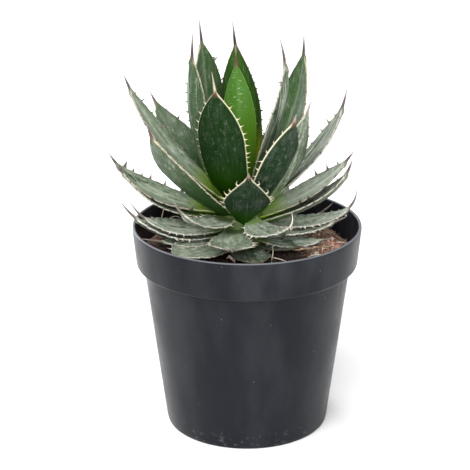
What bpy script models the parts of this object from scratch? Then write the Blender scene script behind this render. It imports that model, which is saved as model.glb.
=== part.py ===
"""A potted agave horrida: a rosette of thick toothed leaves in a round nursery pot.

The pot is a turned shell with a deep rim band, the soil fills it, and the stem stands in a
hole in the soil. Every leaf is one lofted blade with its marginal teeth and its terminal
spine. A leaf is cut clear of the stem and of the younger leaves that lie against it.
Lengths in the tables are millimetres, and the built meshes are metres. Z is up.
"""

import math
import random

import bmesh
import bpy
import numpy as np

MM = 0.001

# Pot: a round plastic nursery pot, 17 cm across the rim
POT_HEIGHT = 155.7
RIM_RADIUS = 85.0
BAND_HEIGHT = 29.6
BAND_FOOT_RADIUS = 82.3
BODY_TOP_RADIUS = 77.0
FOOT_RADIUS = 60.6
WALL = 2.2
FLOOR = 5.5
FOOT_STEP = 3.0
DRAIN_RADIUS = 4.0
DRAIN_CIRCLE = 38.0
DRAIN_COUNT = 6
POT_STEPS = 40

# Soil: a low mound inside the rim
SOIL_RINGS = ((30.0, -17.0), (45.0, -16.2), (58.0, -16.0), (68.0, -17.5), (75.0, -20.5))
SOIL_EDGE_DROP = -24.0
SOIL_GAP = 0.35
SOIL_STEPS = 40

# Stem: an egg-shaped crown that carries the leaves, on a tapering root
STEM_X = -5.0
CROWN_RADIUS = 18.0
CROWN_HEIGHT = 34.0
CROWN_WAIST = -8.0
STEM_STEPS = 20
ROOT_PROFILE = ((15.5, -21.0), (11.0, -32.0), (8.0, -58.0), (4.5, -64.0))

# Leaves
CLEARANCE = 0.35
SPINE_LENGTH = 17.0
ROOT_BURIED = 6.0
KEEL_THICKNESS = 4.4
KEEL_TAPER = 2.0
MARGIN_THICKNESS = 1.0
TOOTH_PITCH = 16.0
TOOTH_BASE = 2.6
TOOTH_HEIGHT = 5.0
SECTION_INNER = 0.45

# One row a leaf, youngest first. Azimuth is degrees round from the right hand side, and
# root is the angle down from the top of the crown. Reach and rise place the spine tip,
# outwards from the stem axis and upwards from the rim. The two pitches are the slope in
# degrees at the root and at the tip. Sway moves the tip sideways.
COLUMNS = ("azimuth", "root", "reach", "rise", "root_pitch", "tip_pitch", "width", "channel", "sway")
LEAVES = {
    "leaf_bud": (-95, 8, 2, 136, 86, 94, 25, 0.40, -3),
    "leaf_heart": (72, 16, 8.8, 150, 80, 91, 32, 0.24, 8.5),
    "leaf_rear_left_tall": (137, 26, 34, 150, 54, 85, 30, 0.20, 7),
    "leaf_right_tall": (-11, 28, 29, 141, 75, 106, 30, 0.22, -1),
    "leaf_front_tall": (-114, 29, 52, 128, 50, 66, 37, 0.09, 2),
    "leaf_left_tall": (-158, 31, 36, 147, 51, 91, 29, 0.25, 0),
    "leaf_back_tall": (95, 32, 48, 120, 58, 84, 38, 0.20, 0),
    "leaf_rear_right_tall": (36, 34, 53, 136, 49, 95, 35, 0.23, -6),
    "leaf_left_upper": (173, 38, 85, 113, 38, 69, 25, 0.15, 3),
    "leaf_back_upper": (112, 42, 72, 94, 46, 70, 34, 0.20, 0),
    "leaf_front_right_upper": (-47, 43, 62, 98, 39, 66, 35, 0.22, -4),
    "leaf_back_right_upper": (52, 43, 66, 84, 44, 70, 34, 0.20, 0),
    "leaf_right_inner": (-28, 46, 56, 101, 35, 72, 34, 0.21, 2),
    "leaf_front_left_upper": (-147, 52, 82, 93, 31, 71, 38, 0.15, 7),
    "leaf_right_upper": (3, 53, 77, 103, 45, 81, 27, 0.14, -3),
    "leaf_back_middle": (84, 53, 86, 66, 28, 56, 38, 0.20, 0),
    "leaf_rear_left_upper": (146, 55, 80, 90, 22, 56, 34, 0.23, 3),
    "leaf_left_middle": (176, 56, 96, 55, 2, 60, 31, 0.18, 7),
    "leaf_front_upper": (-79, 59, 68, 61, 50, 45, 34, 0.11, -7),
    "leaf_back_left_middle": (134, 60, 92, 50, 18, 54, 36, 0.20, 0),
    "leaf_front_left_folded": (-125, 61, 62, 32, -3, 78, 23, 0.17, -14),
    "leaf_front_right_lower": (-56, 63, 62, 26.5, -45, 130, 28, 0.04, 2),
    "leaf_right_middle": (9, 64, 84, 54, 19, 55, 33, 0.15, -6),
    "leaf_left_middle_under": (180, 65, 91, 47.5, 3, 55, 30, 0.19, 3),
    "leaf_back_right_middle": (66, 69, 90, 30, 4, 50, 34, 0.20, 0),
    "leaf_right_middle_under": (-3, 70, 82, 52, 18, 75, 28, 0.20, -2),
    "leaf_back_left_inner": (154, 72, 84, 24, 2, 44, 32, 0.20, 0),
    "leaf_back_lower": (108, 75, 90, 28, 2, 50, 34, 0.20, 0),
    "leaf_front_lower": (-102, 75, 71, 4, -10, 11, 31, 0.13, 10),
    "leaf_rear_right_lower": (44, 77, 84, 16, 0, 44, 34, 0.20, 0),
    "leaf_right_lower": (10, 81, 87, 23, -2, 90, 24, 0.18, -5),
    "leaf_left_lower": (-174, 83, 81, 21, -8, 64, 32, 0.20, 4),
    "leaf_right_lower_under": (2, 86, 79, 5, -6, 27, 23, 0.05, -2),
    "leaf_left_lower_under": (-170, 89, 89, 23, -10, 58, 25, 0.20, 0),
    "leaf_rear_right_ground": (30, 90, 82, 2, -4, 34, 30, 0.20, 0),
    "leaf_rear_left_ground": (128, 92, 80, 4, -6, 26, 32, 0.15, 0),
    "leaf_back_ground": (84, 93, 80, 2, -6, 24, 32, 0.15, 0),
    "leaf_right_ground": (-12, 94, 69, -8, -8, 14, 26, 0.05, 4),
    "leaf_front_left_ground": (-134, 94, 76, -8, -6, 4, 40, 0.12, -3),
    "leaf_left_ground": (-164, 95, 77, -4, -6, 14, 26, 0.15, 1),
    "leaf_front_ground": (-79, 96, 76, -6, -6, 6, 27, 0.12, 0),
    "leaf_front_right_ground": (-28, 97, 58, -10, -4, 6, 24, 0.10, 3),
}
COMMON = {"spine": 1.0, "base": 0.6, "widest": 0.52, "taper": 1.9, "roll": 0.0}
SPECIAL = {
    "leaf_bud": {"spine": 0.8},
    "leaf_rear_left_tall": {"widest": 0.6, "taper": 2.3},
    "leaf_front_tall": {"base": 0.68, "widest": 0.58},
    "leaf_right_tall": {"widest": 0.47, "roll": -6.0},
    "leaf_left_tall": {"widest": 0.6, "taper": 2.3, "roll": 8.0},
    "leaf_rear_right_tall": {"spine": 0.8},
    "leaf_front_right_upper": {"spine": 0.45, "taper": 2.1},
    "leaf_left_upper": {"spine": 0.7, "taper": 2.5, "roll": -6.5},
    "leaf_right_inner": {"spine": 0.57, "taper": 1.7, "roll": -16.0},
    "leaf_rear_left_upper": {"spine": 0.5, "base": 0.48, "widest": 0.67, "taper": 1.1, "roll": -13.0},
    "leaf_front_upper": {"spine": 0.35, "base": 0.4, "widest": 0.36, "taper": 1.2, "roll": -10.0},
    "leaf_right_upper": {"spine": 0.83, "widest": 0.57, "taper": 2.2, "roll": 6.0},
    "leaf_front_left_upper": {"spine": 0.74, "widest": 0.45, "roll": 9.0},
    "leaf_left_middle": {"spine": 0.58, "taper": 1.7, "roll": -5.0},
    "leaf_right_middle": {"spine": 0.56, "widest": 0.48},
    "leaf_left_middle_under": {"spine": 0.45, "widest": 0.55, "roll": -6.0},
    "leaf_front_left_folded": {"spine": 0.52, "base": 0.4, "widest": 0.25, "taper": 1.1, "roll": -20.0},
    "leaf_right_middle_under": {"spine": 0.62, "roll": -4.0},
    "leaf_front_right_lower": {"spine": 0.8, "base": 0.4, "widest": 0.3, "taper": 2.1},
    "leaf_front_lower": {"spine": 0.5, "base": 0.35, "widest": 0.74, "taper": 3.0},
    "leaf_right_lower": {"spine": 0.9, "base": 0.5, "widest": 0.47},
    "leaf_right_lower_under": {"spine": 0.58, "widest": 0.57, "roll": -6.0},
    "leaf_right_ground": {"spine": 0.5},
    "leaf_front_left_ground": {"spine": 0.6, "widest": 0.6},
    "leaf_front_ground": {"spine": 0.6},
    "leaf_front_right_ground": {"spine": 0.65},
}


def clear_scene():
    for obj in list(bpy.data.objects):
        bpy.data.objects.remove(obj, do_unlink=True)
    for collection in list(bpy.data.collections):
        bpy.data.collections.remove(collection)


def new_collection(name):
    collection = bpy.data.collections.new(name)
    bpy.context.scene.collection.children.link(collection)
    return collection


def new_material(name, colour, roughness):
    material = bpy.data.materials.new(name)
    material.use_nodes = True
    shader = material.node_tree.nodes["Principled BSDF"]
    shader.inputs["Base Color"].default_value = (*colour, 1.0)
    shader.inputs["Roughness"].default_value = roughness
    return material


def new_object(name, mesh, collection, material=None):
    obj = bpy.data.objects.new(name, mesh)
    collection.objects.link(obj)
    if material is not None:
        mesh.materials.append(material)
    return obj


def mesh_from(name, points, faces):
    """A closed mesh in metres from points in millimetres, its faces turned outwards."""
    mesh = bpy.data.meshes.new(name)
    mesh.from_pydata([tuple(point) for point in np.asarray(points) * MM], [], faces)
    work = bmesh.new()
    work.from_mesh(mesh)
    bmesh.ops.recalc_face_normals(work, faces=work.faces)
    work.to_mesh(mesh)
    work.free()
    return mesh


def hide_cutter(obj):
    obj.hide_render = True
    obj.display_type = "WIRE"


def cut(obj, cutter):
    modifier = obj.modifiers.new("cut_" + cutter.name, "BOOLEAN")
    modifier.operation = "DIFFERENCE"
    modifier.solver = "MANIFOLD"
    modifier.object = cutter


def apply_modifiers(obj):
    depsgraph = bpy.context.evaluated_depsgraph_get()
    mesh = bpy.data.meshes.new_from_object(obj.evaluated_get(depsgraph))
    obj.modifiers.clear()
    obj.data = mesh


def keep_largest_piece(obj):
    """Drops the loose scraps that a cut leaves beside the blade."""
    work = bmesh.new()
    work.from_mesh(obj.data)
    unseen = set(work.verts)
    pieces = []
    while unseen:
        edge_of_search = [unseen.pop()]
        piece = list(edge_of_search)
        while edge_of_search:
            vertex = edge_of_search.pop()
            for edge in vertex.link_edges:
                other = edge.other_vert(vertex)
                if other in unseen:
                    unseen.remove(other)
                    edge_of_search.append(other)
                    piece.append(other)
        pieces.append(piece)
    pieces.sort(key=len)
    for piece in pieces[:-1]:
        bmesh.ops.delete(work, geom=piece, context="VERTS")
    work.to_mesh(obj.data)
    work.free()


def turned(name, profile, steps, collection, material=None):
    """A solid of revolution: a profile from the inside of the top round to the foot."""
    points = [(radius * MM, 0.0, height * MM) for radius, height in profile]
    edges = [(i, i + 1) for i in range(len(points) - 1)]
    mesh = bpy.data.meshes.new(name)
    mesh.from_pydata(points, edges, [])
    obj = new_object(name, mesh, collection, material)
    screw = obj.modifiers.new("turn", "SCREW")
    screw.angle = math.tau
    screw.steps = steps
    screw.render_steps = steps
    screw.use_merge_vertices = True
    screw.merge_threshold = 0.00001
    screw.use_normal_calculate = True
    return obj


def build_pot(collection, cutters, material):
    """The shell is turned, then the drain holes are cut through the raised ring of its floor."""
    band_foot = POT_HEIGHT - BAND_HEIGHT
    inner_top = RIM_RADIUS - WALL
    profile = [
        (0.0, FLOOR),
        (FOOT_RADIUS - WALL - 2.0, FLOOR),
        (FOOT_RADIUS - WALL + 0.6, FLOOR + 2.5),
        (BODY_TOP_RADIUS - WALL, band_foot - 1.5),
        (BAND_FOOT_RADIUS - WALL, band_foot + 2.5),
        (inner_top, POT_HEIGHT - 1.0),
        (inner_top + 0.5, POT_HEIGHT),
        (RIM_RADIUS - 0.5, POT_HEIGHT),
        (RIM_RADIUS, POT_HEIGHT - 1.0),
        (BAND_FOOT_RADIUS + 0.3, band_foot + 4.0),
        (BAND_FOOT_RADIUS - 0.5, band_foot + 1.2),
        (BAND_FOOT_RADIUS - 2.2, band_foot),
        (BODY_TOP_RADIUS, band_foot - 0.4),
        (FOOT_RADIUS + 0.5, 1.4),
        (FOOT_RADIUS - 0.6, 0.0),
        (FOOT_RADIUS - 5.0, 0.0),
        (FOOT_RADIUS - 7.0, FOOT_STEP),
        (20.0, FOOT_STEP),
        (18.0, 0.0),
        (0.0, 0.0),
    ]
    pot = turned("pot", profile, POT_STEPS, collection, material)
    for i in range(DRAIN_COUNT):
        turn = math.tau * (i + 0.5) / DRAIN_COUNT
        bpy.ops.mesh.primitive_cylinder_add(
            vertices=12,
            radius=DRAIN_RADIUS * MM,
            depth=FLOOR * 3.0 * MM,
            location=(DRAIN_CIRCLE * MM * math.cos(turn), DRAIN_CIRCLE * MM * math.sin(turn), 0.0),
        )
        drain = bpy.context.object
        drain.name = "drain_%d" % (i + 1)
        for owner in list(drain.users_collection):
            owner.objects.unlink(drain)
        cutters.objects.link(drain)
        hide_cutter(drain)
        cut(pot, drain)
    return pot


def inner_wall_radius(height):
    """Inside radius of the pot body at a height, below the band."""
    low = FLOOR + 2.5
    high = POT_HEIGHT - BAND_HEIGHT - 1.5
    share = (height - low) / (high - low)
    return FOOT_RADIUS - WALL + 0.6 + share * (BODY_TOP_RADIUS - FOOT_RADIUS - 0.6)


def build_soil(collection, hole, material):
    """A mound whose lumps are a sum of waves, walled in by the pot, with the stem's hole cut."""
    band_foot = POT_HEIGHT - BAND_HEIGHT
    turns = np.arange(SOIL_STEPS) * math.tau / SOIL_STEPS
    rings = [(12.0, -17.0)] + list(SOIL_RINGS)
    wall_radius = BAND_FOOT_RADIUS - WALL + 0.6 - SOIL_GAP
    rings.append((wall_radius, SOIL_EDGE_DROP))
    points = []
    for radius, height in rings:
        lumps = 0.5 * np.sin(5.0 * turns + radius * 0.31) + 0.35 * np.sin(11.0 * turns - radius * 0.5)
        if radius == wall_radius:
            lumps = np.zeros(SOIL_STEPS)
        for turn, lump in zip(turns, lumps):
            points.append((radius * math.cos(turn), radius * math.sin(turn), POT_HEIGHT + height + lump))
    below = [
        (BAND_FOOT_RADIUS - WALL - SOIL_GAP, band_foot + 2.6),
        (BODY_TOP_RADIUS - WALL - SOIL_GAP, band_foot - 1.4),
        (inner_wall_radius(FLOOR + 2.5) - SOIL_GAP - 0.1, FLOOR + 2.6),
        (FOOT_RADIUS - WALL - 2.3, FLOOR + SOIL_GAP),
    ]
    for radius, height in below:
        for turn in turns:
            points.append((radius * math.cos(turn), radius * math.sin(turn), height))
    ring_count = len(rings) + len(below)
    faces = [tuple(range(SOIL_STEPS)), tuple(range((ring_count - 1) * SOIL_STEPS, ring_count * SOIL_STEPS))]
    for ring in range(ring_count - 1):
        for i in range(SOIL_STEPS):
            a = ring * SOIL_STEPS + i
            b = ring * SOIL_STEPS + (i + 1) % SOIL_STEPS
            faces.append((a, b, b + SOIL_STEPS, a + SOIL_STEPS))
    soil = new_object("soil", mesh_from("soil", points, faces), collection, material)
    cut(soil, hole)
    apply_modifiers(soil)
    return soil


def build_stem(name, collection, swell, material=None):
    """The crown is half an egg on a short tapering root. Swell gives the cutter its gap."""
    profile = [(0.0, CROWN_WAIST + CROWN_HEIGHT + swell)]
    for angle in (15, 30, 45, 60, 75, 90, 105):
        turn = math.radians(angle)
        radius = (CROWN_RADIUS + swell) * math.sin(turn)
        profile.append((radius, CROWN_WAIST + (CROWN_HEIGHT + swell) * math.cos(turn)))
    for radius, height in ROOT_PROFILE:
        profile.append((radius + swell, height))
    profile.append((0.0, ROOT_PROFILE[-1][1] - 1.0 - swell))
    raised = [(radius, POT_HEIGHT + height) for radius, height in profile]
    stem = turned(name, raised, STEM_STEPS, collection, material)
    apply_modifiers(stem)
    for vertex in stem.data.vertices:
        vertex.co.x += STEM_X * MM
    return stem


def unit(vectors):
    return vectors / np.linalg.norm(vectors, axis=-1, keepdims=True)


def midrib(leaf, share):
    """Points and headings along the midrib, a cubic curve from the crown to the spine tip."""
    turn = math.radians(leaf["azimuth"])
    out = np.array((math.cos(turn), math.sin(turn), 0.0))
    side = np.array((-math.sin(turn), math.cos(turn), 0.0))
    up = np.array((0.0, 0.0, 1.0))
    drop = math.radians(leaf["root"])
    axis = np.array((STEM_X, 0.0, POT_HEIGHT))
    start = axis + CROWN_RADIUS * math.sin(drop) * out
    start = start + (CROWN_WAIST + CROWN_HEIGHT * math.cos(drop)) * up
    end = axis + leaf["reach"] * out + leaf["sway"] * side + leaf["rise"] * up
    handle = 0.38 * np.linalg.norm(end - start)
    low = math.radians(leaf["root_pitch"])
    high = math.radians(leaf["tip_pitch"])
    first = start + handle * (math.cos(low) * out + math.sin(low) * up)
    second = end - handle * (math.cos(high) * out + math.sin(high) * up)
    second = second - 0.57 * leaf["sway"] * side
    t = share[:, None]
    r = 1.0 - t
    points = r**3 * start + 3 * r * r * t * first + 3 * r * t * t * second + t**3 * end
    heading = r * r * (first - start) + 2 * r * t * (second - first) + t * t * (end - second)
    return points, unit(heading), side


def half_width(leaf, along):
    """Half the blade's width at a share of its length: a swelling root, then a pointed arch."""
    widest = leaf["widest"]
    swelling = leaf["base"] + (1.0 - leaf["base"]) * np.sin(0.5 * np.pi * np.clip(along / widest, 0, 1))
    arch = 1.0 - np.clip((along - widest) / (1.0 - widest), 0, 1) ** leaf["taper"]
    return np.maximum(0.5 * leaf["width"] * np.where(along < widest, swelling, arch), 1.3)


def leaf_points(leaf, swell, seed):
    """Rings of eight points: five over the upper face from margin to margin, three below.

    Pairs of rings stand close together where a tooth grows, so each margin has a narrow
    face there, and the tooth is a pyramid raised from it.
    """
    fine = np.linspace(0.0, 1.0, 400)
    line, _, _ = midrib(leaf, fine)
    arc = np.concatenate(((0.0,), np.cumsum(np.linalg.norm(np.diff(line, axis=0), axis=1))))
    spine = SPINE_LENGTH * leaf["spine"]
    blade = arc[-1] - spine
    teeth = max(3, round(blade / TOOTH_PITCH))
    centres = blade * np.linspace(0.16, 0.9, teeth)
    gap = 0.5 * TOOTH_BASE + swell
    distances = [0.0]
    for centre in centres:
        distances.extend((centre - gap, centre + gap))
    distances.extend((blade, blade + 0.4 * spine, arc[-1]))
    distances = np.array(distances)
    centre_line, heading, side = midrib(leaf, np.interp(distances, arc, fine))
    across = unit(side - (heading @ side)[:, None] * heading)
    face = np.cross(heading, across)
    roll = np.radians(leaf["roll"]) * np.clip(2.0 * distances / arc[-1], 0, 1)[:, None]
    across, face = (
        np.cos(roll) * across + np.sin(roll) * face,
        np.cos(roll) * face - np.sin(roll) * across,
    )
    along = np.clip(distances / blade, 0, 1)
    half = half_width(leaf, along)
    keel = KEEL_THICKNESS - KEEL_TAPER * along
    margin = np.full(len(distances), MARGIN_THICKNESS)
    half[-2:] = (0.9, 0.25)
    keel[-2:] = (1.7, 0.5)
    margin[-2:] = (0.8, 0.3)
    half = half + swell
    lift = leaf["channel"] * half
    section = [
        (1.0, lift + swell),
        (SECTION_INNER, lift * SECTION_INNER**1.7 + swell),
        (0.0, 0.0 * lift + swell),
        (-SECTION_INNER, lift * SECTION_INNER**1.7 + swell),
        (-1.0, lift + swell),
        (-1.0, lift - margin - swell),
        (0.0, -keel - swell),
        (1.0, lift - margin - swell),
    ]
    centre_line = np.concatenate((centre_line[:1] - ROOT_BURIED * heading[:1], centre_line))
    centre_line[-1] += swell * heading[-1]
    heading = np.concatenate((heading[:1], heading))
    across = np.concatenate((across[:1], across))
    face = np.concatenate((face[:1], face))
    points = []
    for place, height in section:
        width = np.concatenate((half[:1] * 0.8, half))
        height = np.concatenate((height[:1], height))
        points.append(centre_line + (width * place)[:, None] * across + height[:, None] * face)
    points = np.stack(points, axis=1)
    rings = len(points)
    tooth_rings = {2 + 2 * i: i for i in range(teeth)}
    tips = []
    faces = [tuple(range(7, -1, -1)), tuple(range((rings - 1) * 8, rings * 8))]
    chance = random.Random(seed)
    for ring in range(rings - 1):
        for i in range(8):
            a = ring * 8 + i
            b = ring * 8 + (i + 1) % 8
            quad = (a, b, b + 8, a + 8)
            if ring in tooth_rings and i in (4, 7):
                sign = -1.0 if i == 4 else 1.0
                share = tooth_rings[ring] / max(teeth - 1, 1)
                size = TOOTH_HEIGHT * (1.0 - 0.35 * share) * chance.uniform(0.8, 1.15)
                hook = chance.choice((-1.0, -1.0, 1.0)) * chance.uniform(0.8, 2.0)
                middle = points[ring : ring + 2, [i, (i + 1) % 8]].reshape(4, 3).mean(axis=0)
                tip = middle + sign * (size + swell) * across[ring] + hook * heading[ring]
                tip = tip + chance.uniform(0.0, 1.4) * face[ring]
                apex = rings * 8 + len(tips)
                tips.append(tip)
                for j in range(4):
                    faces.append((quad[j], quad[(j + 1) % 4], apex))
            else:
                faces.append((quad[0], quad[1], quad[2]))
                faces.append((quad[0], quad[2], quad[3]))
    everything = np.concatenate((points.reshape(-1, 3), np.array(tips)))
    return everything, faces


def bounds(obj):
    corners = np.array([vertex.co for vertex in obj.data.vertices])
    return corners.min(axis=0), corners.max(axis=0)


def boxes_meet(first, second):
    low_a, high_a = first
    low_b, high_b = second
    return bool(np.all(low_a <= high_b) and np.all(low_b <= high_a))


def build_leaves(collection, cutters, crown_cutter, material):
    """Leaves from the youngest outwards, each cut clear of the crown and of younger leaves."""
    younger = []
    for number, (name, row) in enumerate(LEAVES.items()):
        leaf = dict(zip(COLUMNS, row))
        leaf.update(COMMON)
        leaf.update(SPECIAL.get(name, {}))
        points, faces = leaf_points(leaf, 0.0, number)
        obj = new_object(name, mesh_from(name, points, faces), collection, material)
        box = bounds(obj)
        cut(obj, crown_cutter)
        for cutter, cutter_box in younger:
            if boxes_meet(box, cutter_box):
                cut(obj, cutter)
        apply_modifiers(obj)
        keep_largest_piece(obj)
        points, faces = leaf_points(leaf, CLEARANCE, number)
        cutter = new_object("space_" + name, mesh_from("space_" + name, points, faces), cutters)
        hide_cutter(cutter)
        younger.append((cutter, bounds(cutter)))


def main():
    clear_scene()
    collection = new_collection("potted_agave_horrida")
    cutters = new_collection("cutters")
    plastic = new_material("pot_plastic", (0.035, 0.038, 0.045), 0.35)
    coir = new_material("soil_coir", (0.16, 0.07, 0.035), 0.95)
    flesh = new_material("stem_flesh", (0.45, 0.55, 0.30), 0.6)
    green = new_material("leaf_flesh", (0.10, 0.20, 0.10), 0.5)
    crown_cutter = build_stem("space_stem", cutters, CLEARANCE)
    hide_cutter(crown_cutter)
    build_pot(collection, cutters, plastic)
    build_soil(collection, crown_cutter, coir)
    build_stem("stem", collection, 0.0, flesh)
    build_leaves(collection, cutters, crown_cutter, green)


main()
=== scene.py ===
"""Dresses the potted agave horrida: a young rosette of toothed leaves in a nursery pot.

The sections follow the plant as it is potted: the pot, the soil in it, the loose coir on the
soil, the stem, the leaves, the bits that lie about, and last the table, light and camera.
Sizes are millimetres unless a name says otherwise, and meshes are made in metres.
"""
import math

import bpy
import numpy as np
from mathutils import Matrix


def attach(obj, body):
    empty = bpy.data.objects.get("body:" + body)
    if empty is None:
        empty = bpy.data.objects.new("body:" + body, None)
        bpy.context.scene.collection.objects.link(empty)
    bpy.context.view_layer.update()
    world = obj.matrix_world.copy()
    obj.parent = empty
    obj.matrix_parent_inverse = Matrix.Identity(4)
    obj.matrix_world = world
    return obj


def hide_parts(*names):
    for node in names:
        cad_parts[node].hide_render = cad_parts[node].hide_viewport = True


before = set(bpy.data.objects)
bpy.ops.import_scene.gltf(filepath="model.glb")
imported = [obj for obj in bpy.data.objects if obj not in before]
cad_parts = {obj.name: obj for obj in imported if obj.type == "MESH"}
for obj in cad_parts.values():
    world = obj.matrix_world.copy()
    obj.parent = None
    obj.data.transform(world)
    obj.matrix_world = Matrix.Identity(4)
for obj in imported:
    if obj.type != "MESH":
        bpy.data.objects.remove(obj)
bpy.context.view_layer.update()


# The pot: one moulded shell of dark recycled plastic, turned about its own axis. A deep
# band stiffens its rim, a raised ring in its floor has the drain holes, and a faint line
# under the band is where the halves of the mould met.
MM = 0.001
POT_HEIGHT = 155.7
RIM_RADIUS = 85.0
BAND_FOOT_RADIUS = 82.3
BAND_FOOT = POT_HEIGHT - 29.6
BODY_TOP_RADIUS = 77.0
FOOT_RADIUS = 60.6
POT_WALL = 2.2
POT_FLOOR = 5.5
POT_TURNS = 240
FOOT_RECESS = 3.0
MOULD_LINE = math.radians(-25.3)
MOULD_LINE_FADES = (92.0, 112.0)
MOULD_LINE_DEPTH = 0.22
MOULD_LINE_HALF = 0.35
DRAIN_HOLES = 6
DRAIN_RADIUS = 4.0
DRAIN_CIRCLE = 38.0
DUST_TOP = 20.0
# Heights over which the band's scuffed streaks fade in; they are partly a painted highlight.
RUBBED_SHEEN_FROM, RUBBED_SHEEN_FULL = 122.0, 128.0
# Heights over which the edge of the lip takes a painted highlight.
LIP_HIGHLIGHT_FROM, LIP_HIGHLIGHT_FULL = 154.8, 155.6


def rounded(corners, trims, steps=6):
    """A profile whose inner corners become quadratic arcs.

    Each corner is left trim millimetres before it and met again trim millimetres after it,
    and the arc between is the quadratic curve that has the corner as its handle.
    """
    corners = np.array(corners, float)
    trims = np.array(trims, float)[:, None]
    before = corners[1:-1] - corners[:-2]
    after = corners[2:] - corners[1:-1]
    before_length = np.linalg.norm(before, axis=1, keepdims=True)
    after_length = np.linalg.norm(after, axis=1, keepdims=True)
    trims = np.minimum(trims, 0.48 * np.minimum(before_length, after_length))
    start = corners[1:-1] - trims * before / before_length
    end = corners[1:-1] + trims * after / after_length
    t = np.linspace(0, 1, steps)[None, :, None]
    arcs = (1 - t) ** 2 * start[:, None] + 2 * t * (1 - t) * corners[1:-1, None] + t * t * end[:, None]
    return np.concatenate((corners[:1], arcs.reshape(-1, 2), corners[-1:]))


def ring_quads(rings, around):
    """Quads between successive closed rings of the same number of points."""
    a = np.arange(rings - 1)[:, None] * around + np.arange(around)[None, :]
    b = np.arange(rings - 1)[:, None] * around + (np.arange(around)[None, :] + 1) % around
    return np.stack((a, b, b + around, a + around), axis=-1).reshape(-1, 4)


def cone_ends(rings, around, low_pole, high_pole):
    """Triangles from the first ring to one pole and from the last ring to another."""
    i = np.arange(around)
    j = (i + 1) % around
    last = (rings - 1) * around
    low = np.stack((j, i, np.full(around, low_pole)), axis=-1)
    high = np.stack((i + last, j + last, np.full(around, high_pole)), axis=-1)
    return np.concatenate((low, high))


def in_scene(name, data):
    """An object in the scene that holds a mesh, a light or a camera."""
    thing = bpy.data.objects.new(name, data)
    bpy.context.scene.collection.objects.link(thing)
    return thing


def piece_from(name, points, quads, triangles, material, tags=None):
    """A smooth mesh object in the frame, from millimetres, with a number or vector a point for each tag."""
    mesh = bpy.data.meshes.new(name)
    mesh.from_pydata((points * MM).tolist(), [], quads.tolist() + triangles.tolist())
    mesh.polygons.foreach_set("use_smooth", np.ones(len(mesh.polygons), bool))
    for tag, values in (tags or {}).items():
        values = np.asarray(values, np.float32)
        kind = "FLOAT" if values.ndim == 1 else "FLOAT_VECTOR"
        data = mesh.attributes.new(tag, kind, "POINT").data
        data.foreach_set("value" if values.ndim == 1 else "vector", values.ravel())
    mesh.materials.append(material)
    mesh.update()
    return in_scene(name, mesh)


def capped_piece(name, rings, poles, material, order=-1):
    """A closed mesh of rings of points that meets one pole at each end. Order -1 flips its faces."""
    count, around = rings.shape[:2]
    points = np.concatenate((rings.reshape(-1, 3), poles))
    quads = ring_quads(count, around)[:, ::order]
    ends = cone_ends(count, around, len(points) - 2, len(points) - 1)[:, ::order]
    return piece_from(name, points, quads, ends, material)


def clamped(values):
    """Values held between 0 and 1."""
    return np.clip(values, 0.0, 1.0)


def full_turn(count):
    """Evenly spaced angles round one turn."""
    return np.arange(count) * math.tau / count


def turned(profile, turns):
    """Points of a surface of revolution: ring k has the k-th radius and height at every turn."""
    radius = profile[:, 0, None]
    height = np.broadcast_to(profile[:, 1, None], (len(profile), len(turns)))
    return np.stack((radius * np.cos(turns), radius * np.sin(turns), height), axis=-1)


def feed(tree, node, inputs):
    """Sets a node's inputs to values, or links them to the sockets that feed them."""
    for name, value in inputs.items():
        if isinstance(value, bpy.types.NodeSocket):
            tree.links.new(value, node.inputs[name])
        else:
            node.inputs[name].default_value = value


def add_node(tree, kind, inputs=None, **settings):
    """A shader node with its settings, and with its inputs fed."""
    node = tree.nodes.new(kind)
    for name, value in settings.items():
        setattr(node, name, value)
    feed(tree, node, inputs or {})
    return node


def calculate(tree, operation, *values):
    """The result of a maths node."""
    return add_node(tree, "ShaderNodeMath", dict(enumerate(values)), operation=operation).outputs[0]


def product(tree, value, *others):
    """A value multiplied by others, one after another."""
    for other in others:
        value = calculate(tree, "MULTIPLY", value, other)
    return value


def between(tree, value, low, high, to_low=0.0, to_high=1.0):
    """A value run smoothly from to_low at low to to_high at high."""
    inputs = {"Value": value, "From Min": low, "From Max": high, "To Min": to_low, "To Max": to_high}
    node = add_node(tree, "ShaderNodeMapRange", inputs, interpolation_type="SMOOTHSTEP")
    return node.outputs["Result"]


def opaque(value):
    """A colour with the fourth channel that a socket wants, and anything else as it is."""
    return (*value, 1.0) if isinstance(value, tuple) else value


def blended(tree, share, first, second):
    """Two colours mixed by a share."""
    inputs = {0: share, 6: opaque(first), 7: opaque(second)}
    return add_node(tree, "ShaderNodeMix", inputs, data_type="RGBA").outputs[2]


def noise(tree, vector, scale, detail=3.0, roughness=0.5):
    """The grey value of a noise pattern on a vector that is in metres or millimetres."""
    inputs = {"Vector": vector, "Scale": scale, "Detail": detail, "Roughness": roughness}
    return add_node(tree, "ShaderNodeTexNoise", inputs).outputs[0]


def stretched(tree, vector, scale):
    """A vector multiplied axis by axis."""
    return add_node(tree, "ShaderNodeVectorMath", {0: vector, 1: scale}, operation="MULTIPLY").outputs[0]


def new_group(name, inputs, outputs):
    """An empty shader group whose named sockets have the given kinds, and its two end nodes."""
    group = bpy.data.node_groups.new(name, "ShaderNodeTree")
    for way, sockets in (("INPUT", inputs), ("OUTPUT", outputs)):
        for label, kind in sockets.items():
            group.interface.new_socket(label, in_out=way, socket_type="NodeSocket" + kind)
    return group, group.nodes.new("NodeGroupInput"), group.nodes.new("NodeGroupOutput")


def new_material(name):
    """A material with a Principled shader, its tree, the shader and its object coordinates."""
    material = bpy.data.materials.new(name)
    material.use_nodes = True
    tree = material.node_tree
    place = tree.nodes.new("ShaderNodeTexCoord").outputs["Object"]
    return material, tree, tree.nodes["Principled BSDF"], place


def bumpy(tree, shader, height, distance):
    """A bump in millimetres that feeds the shader's normal."""
    inputs = {"Height": height, "Distance": distance * MM, "Strength": 1.0}
    feed(tree, shader, {"Normal": add_node(tree, "ShaderNodeBump", inputs).outputs[0]})


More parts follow.
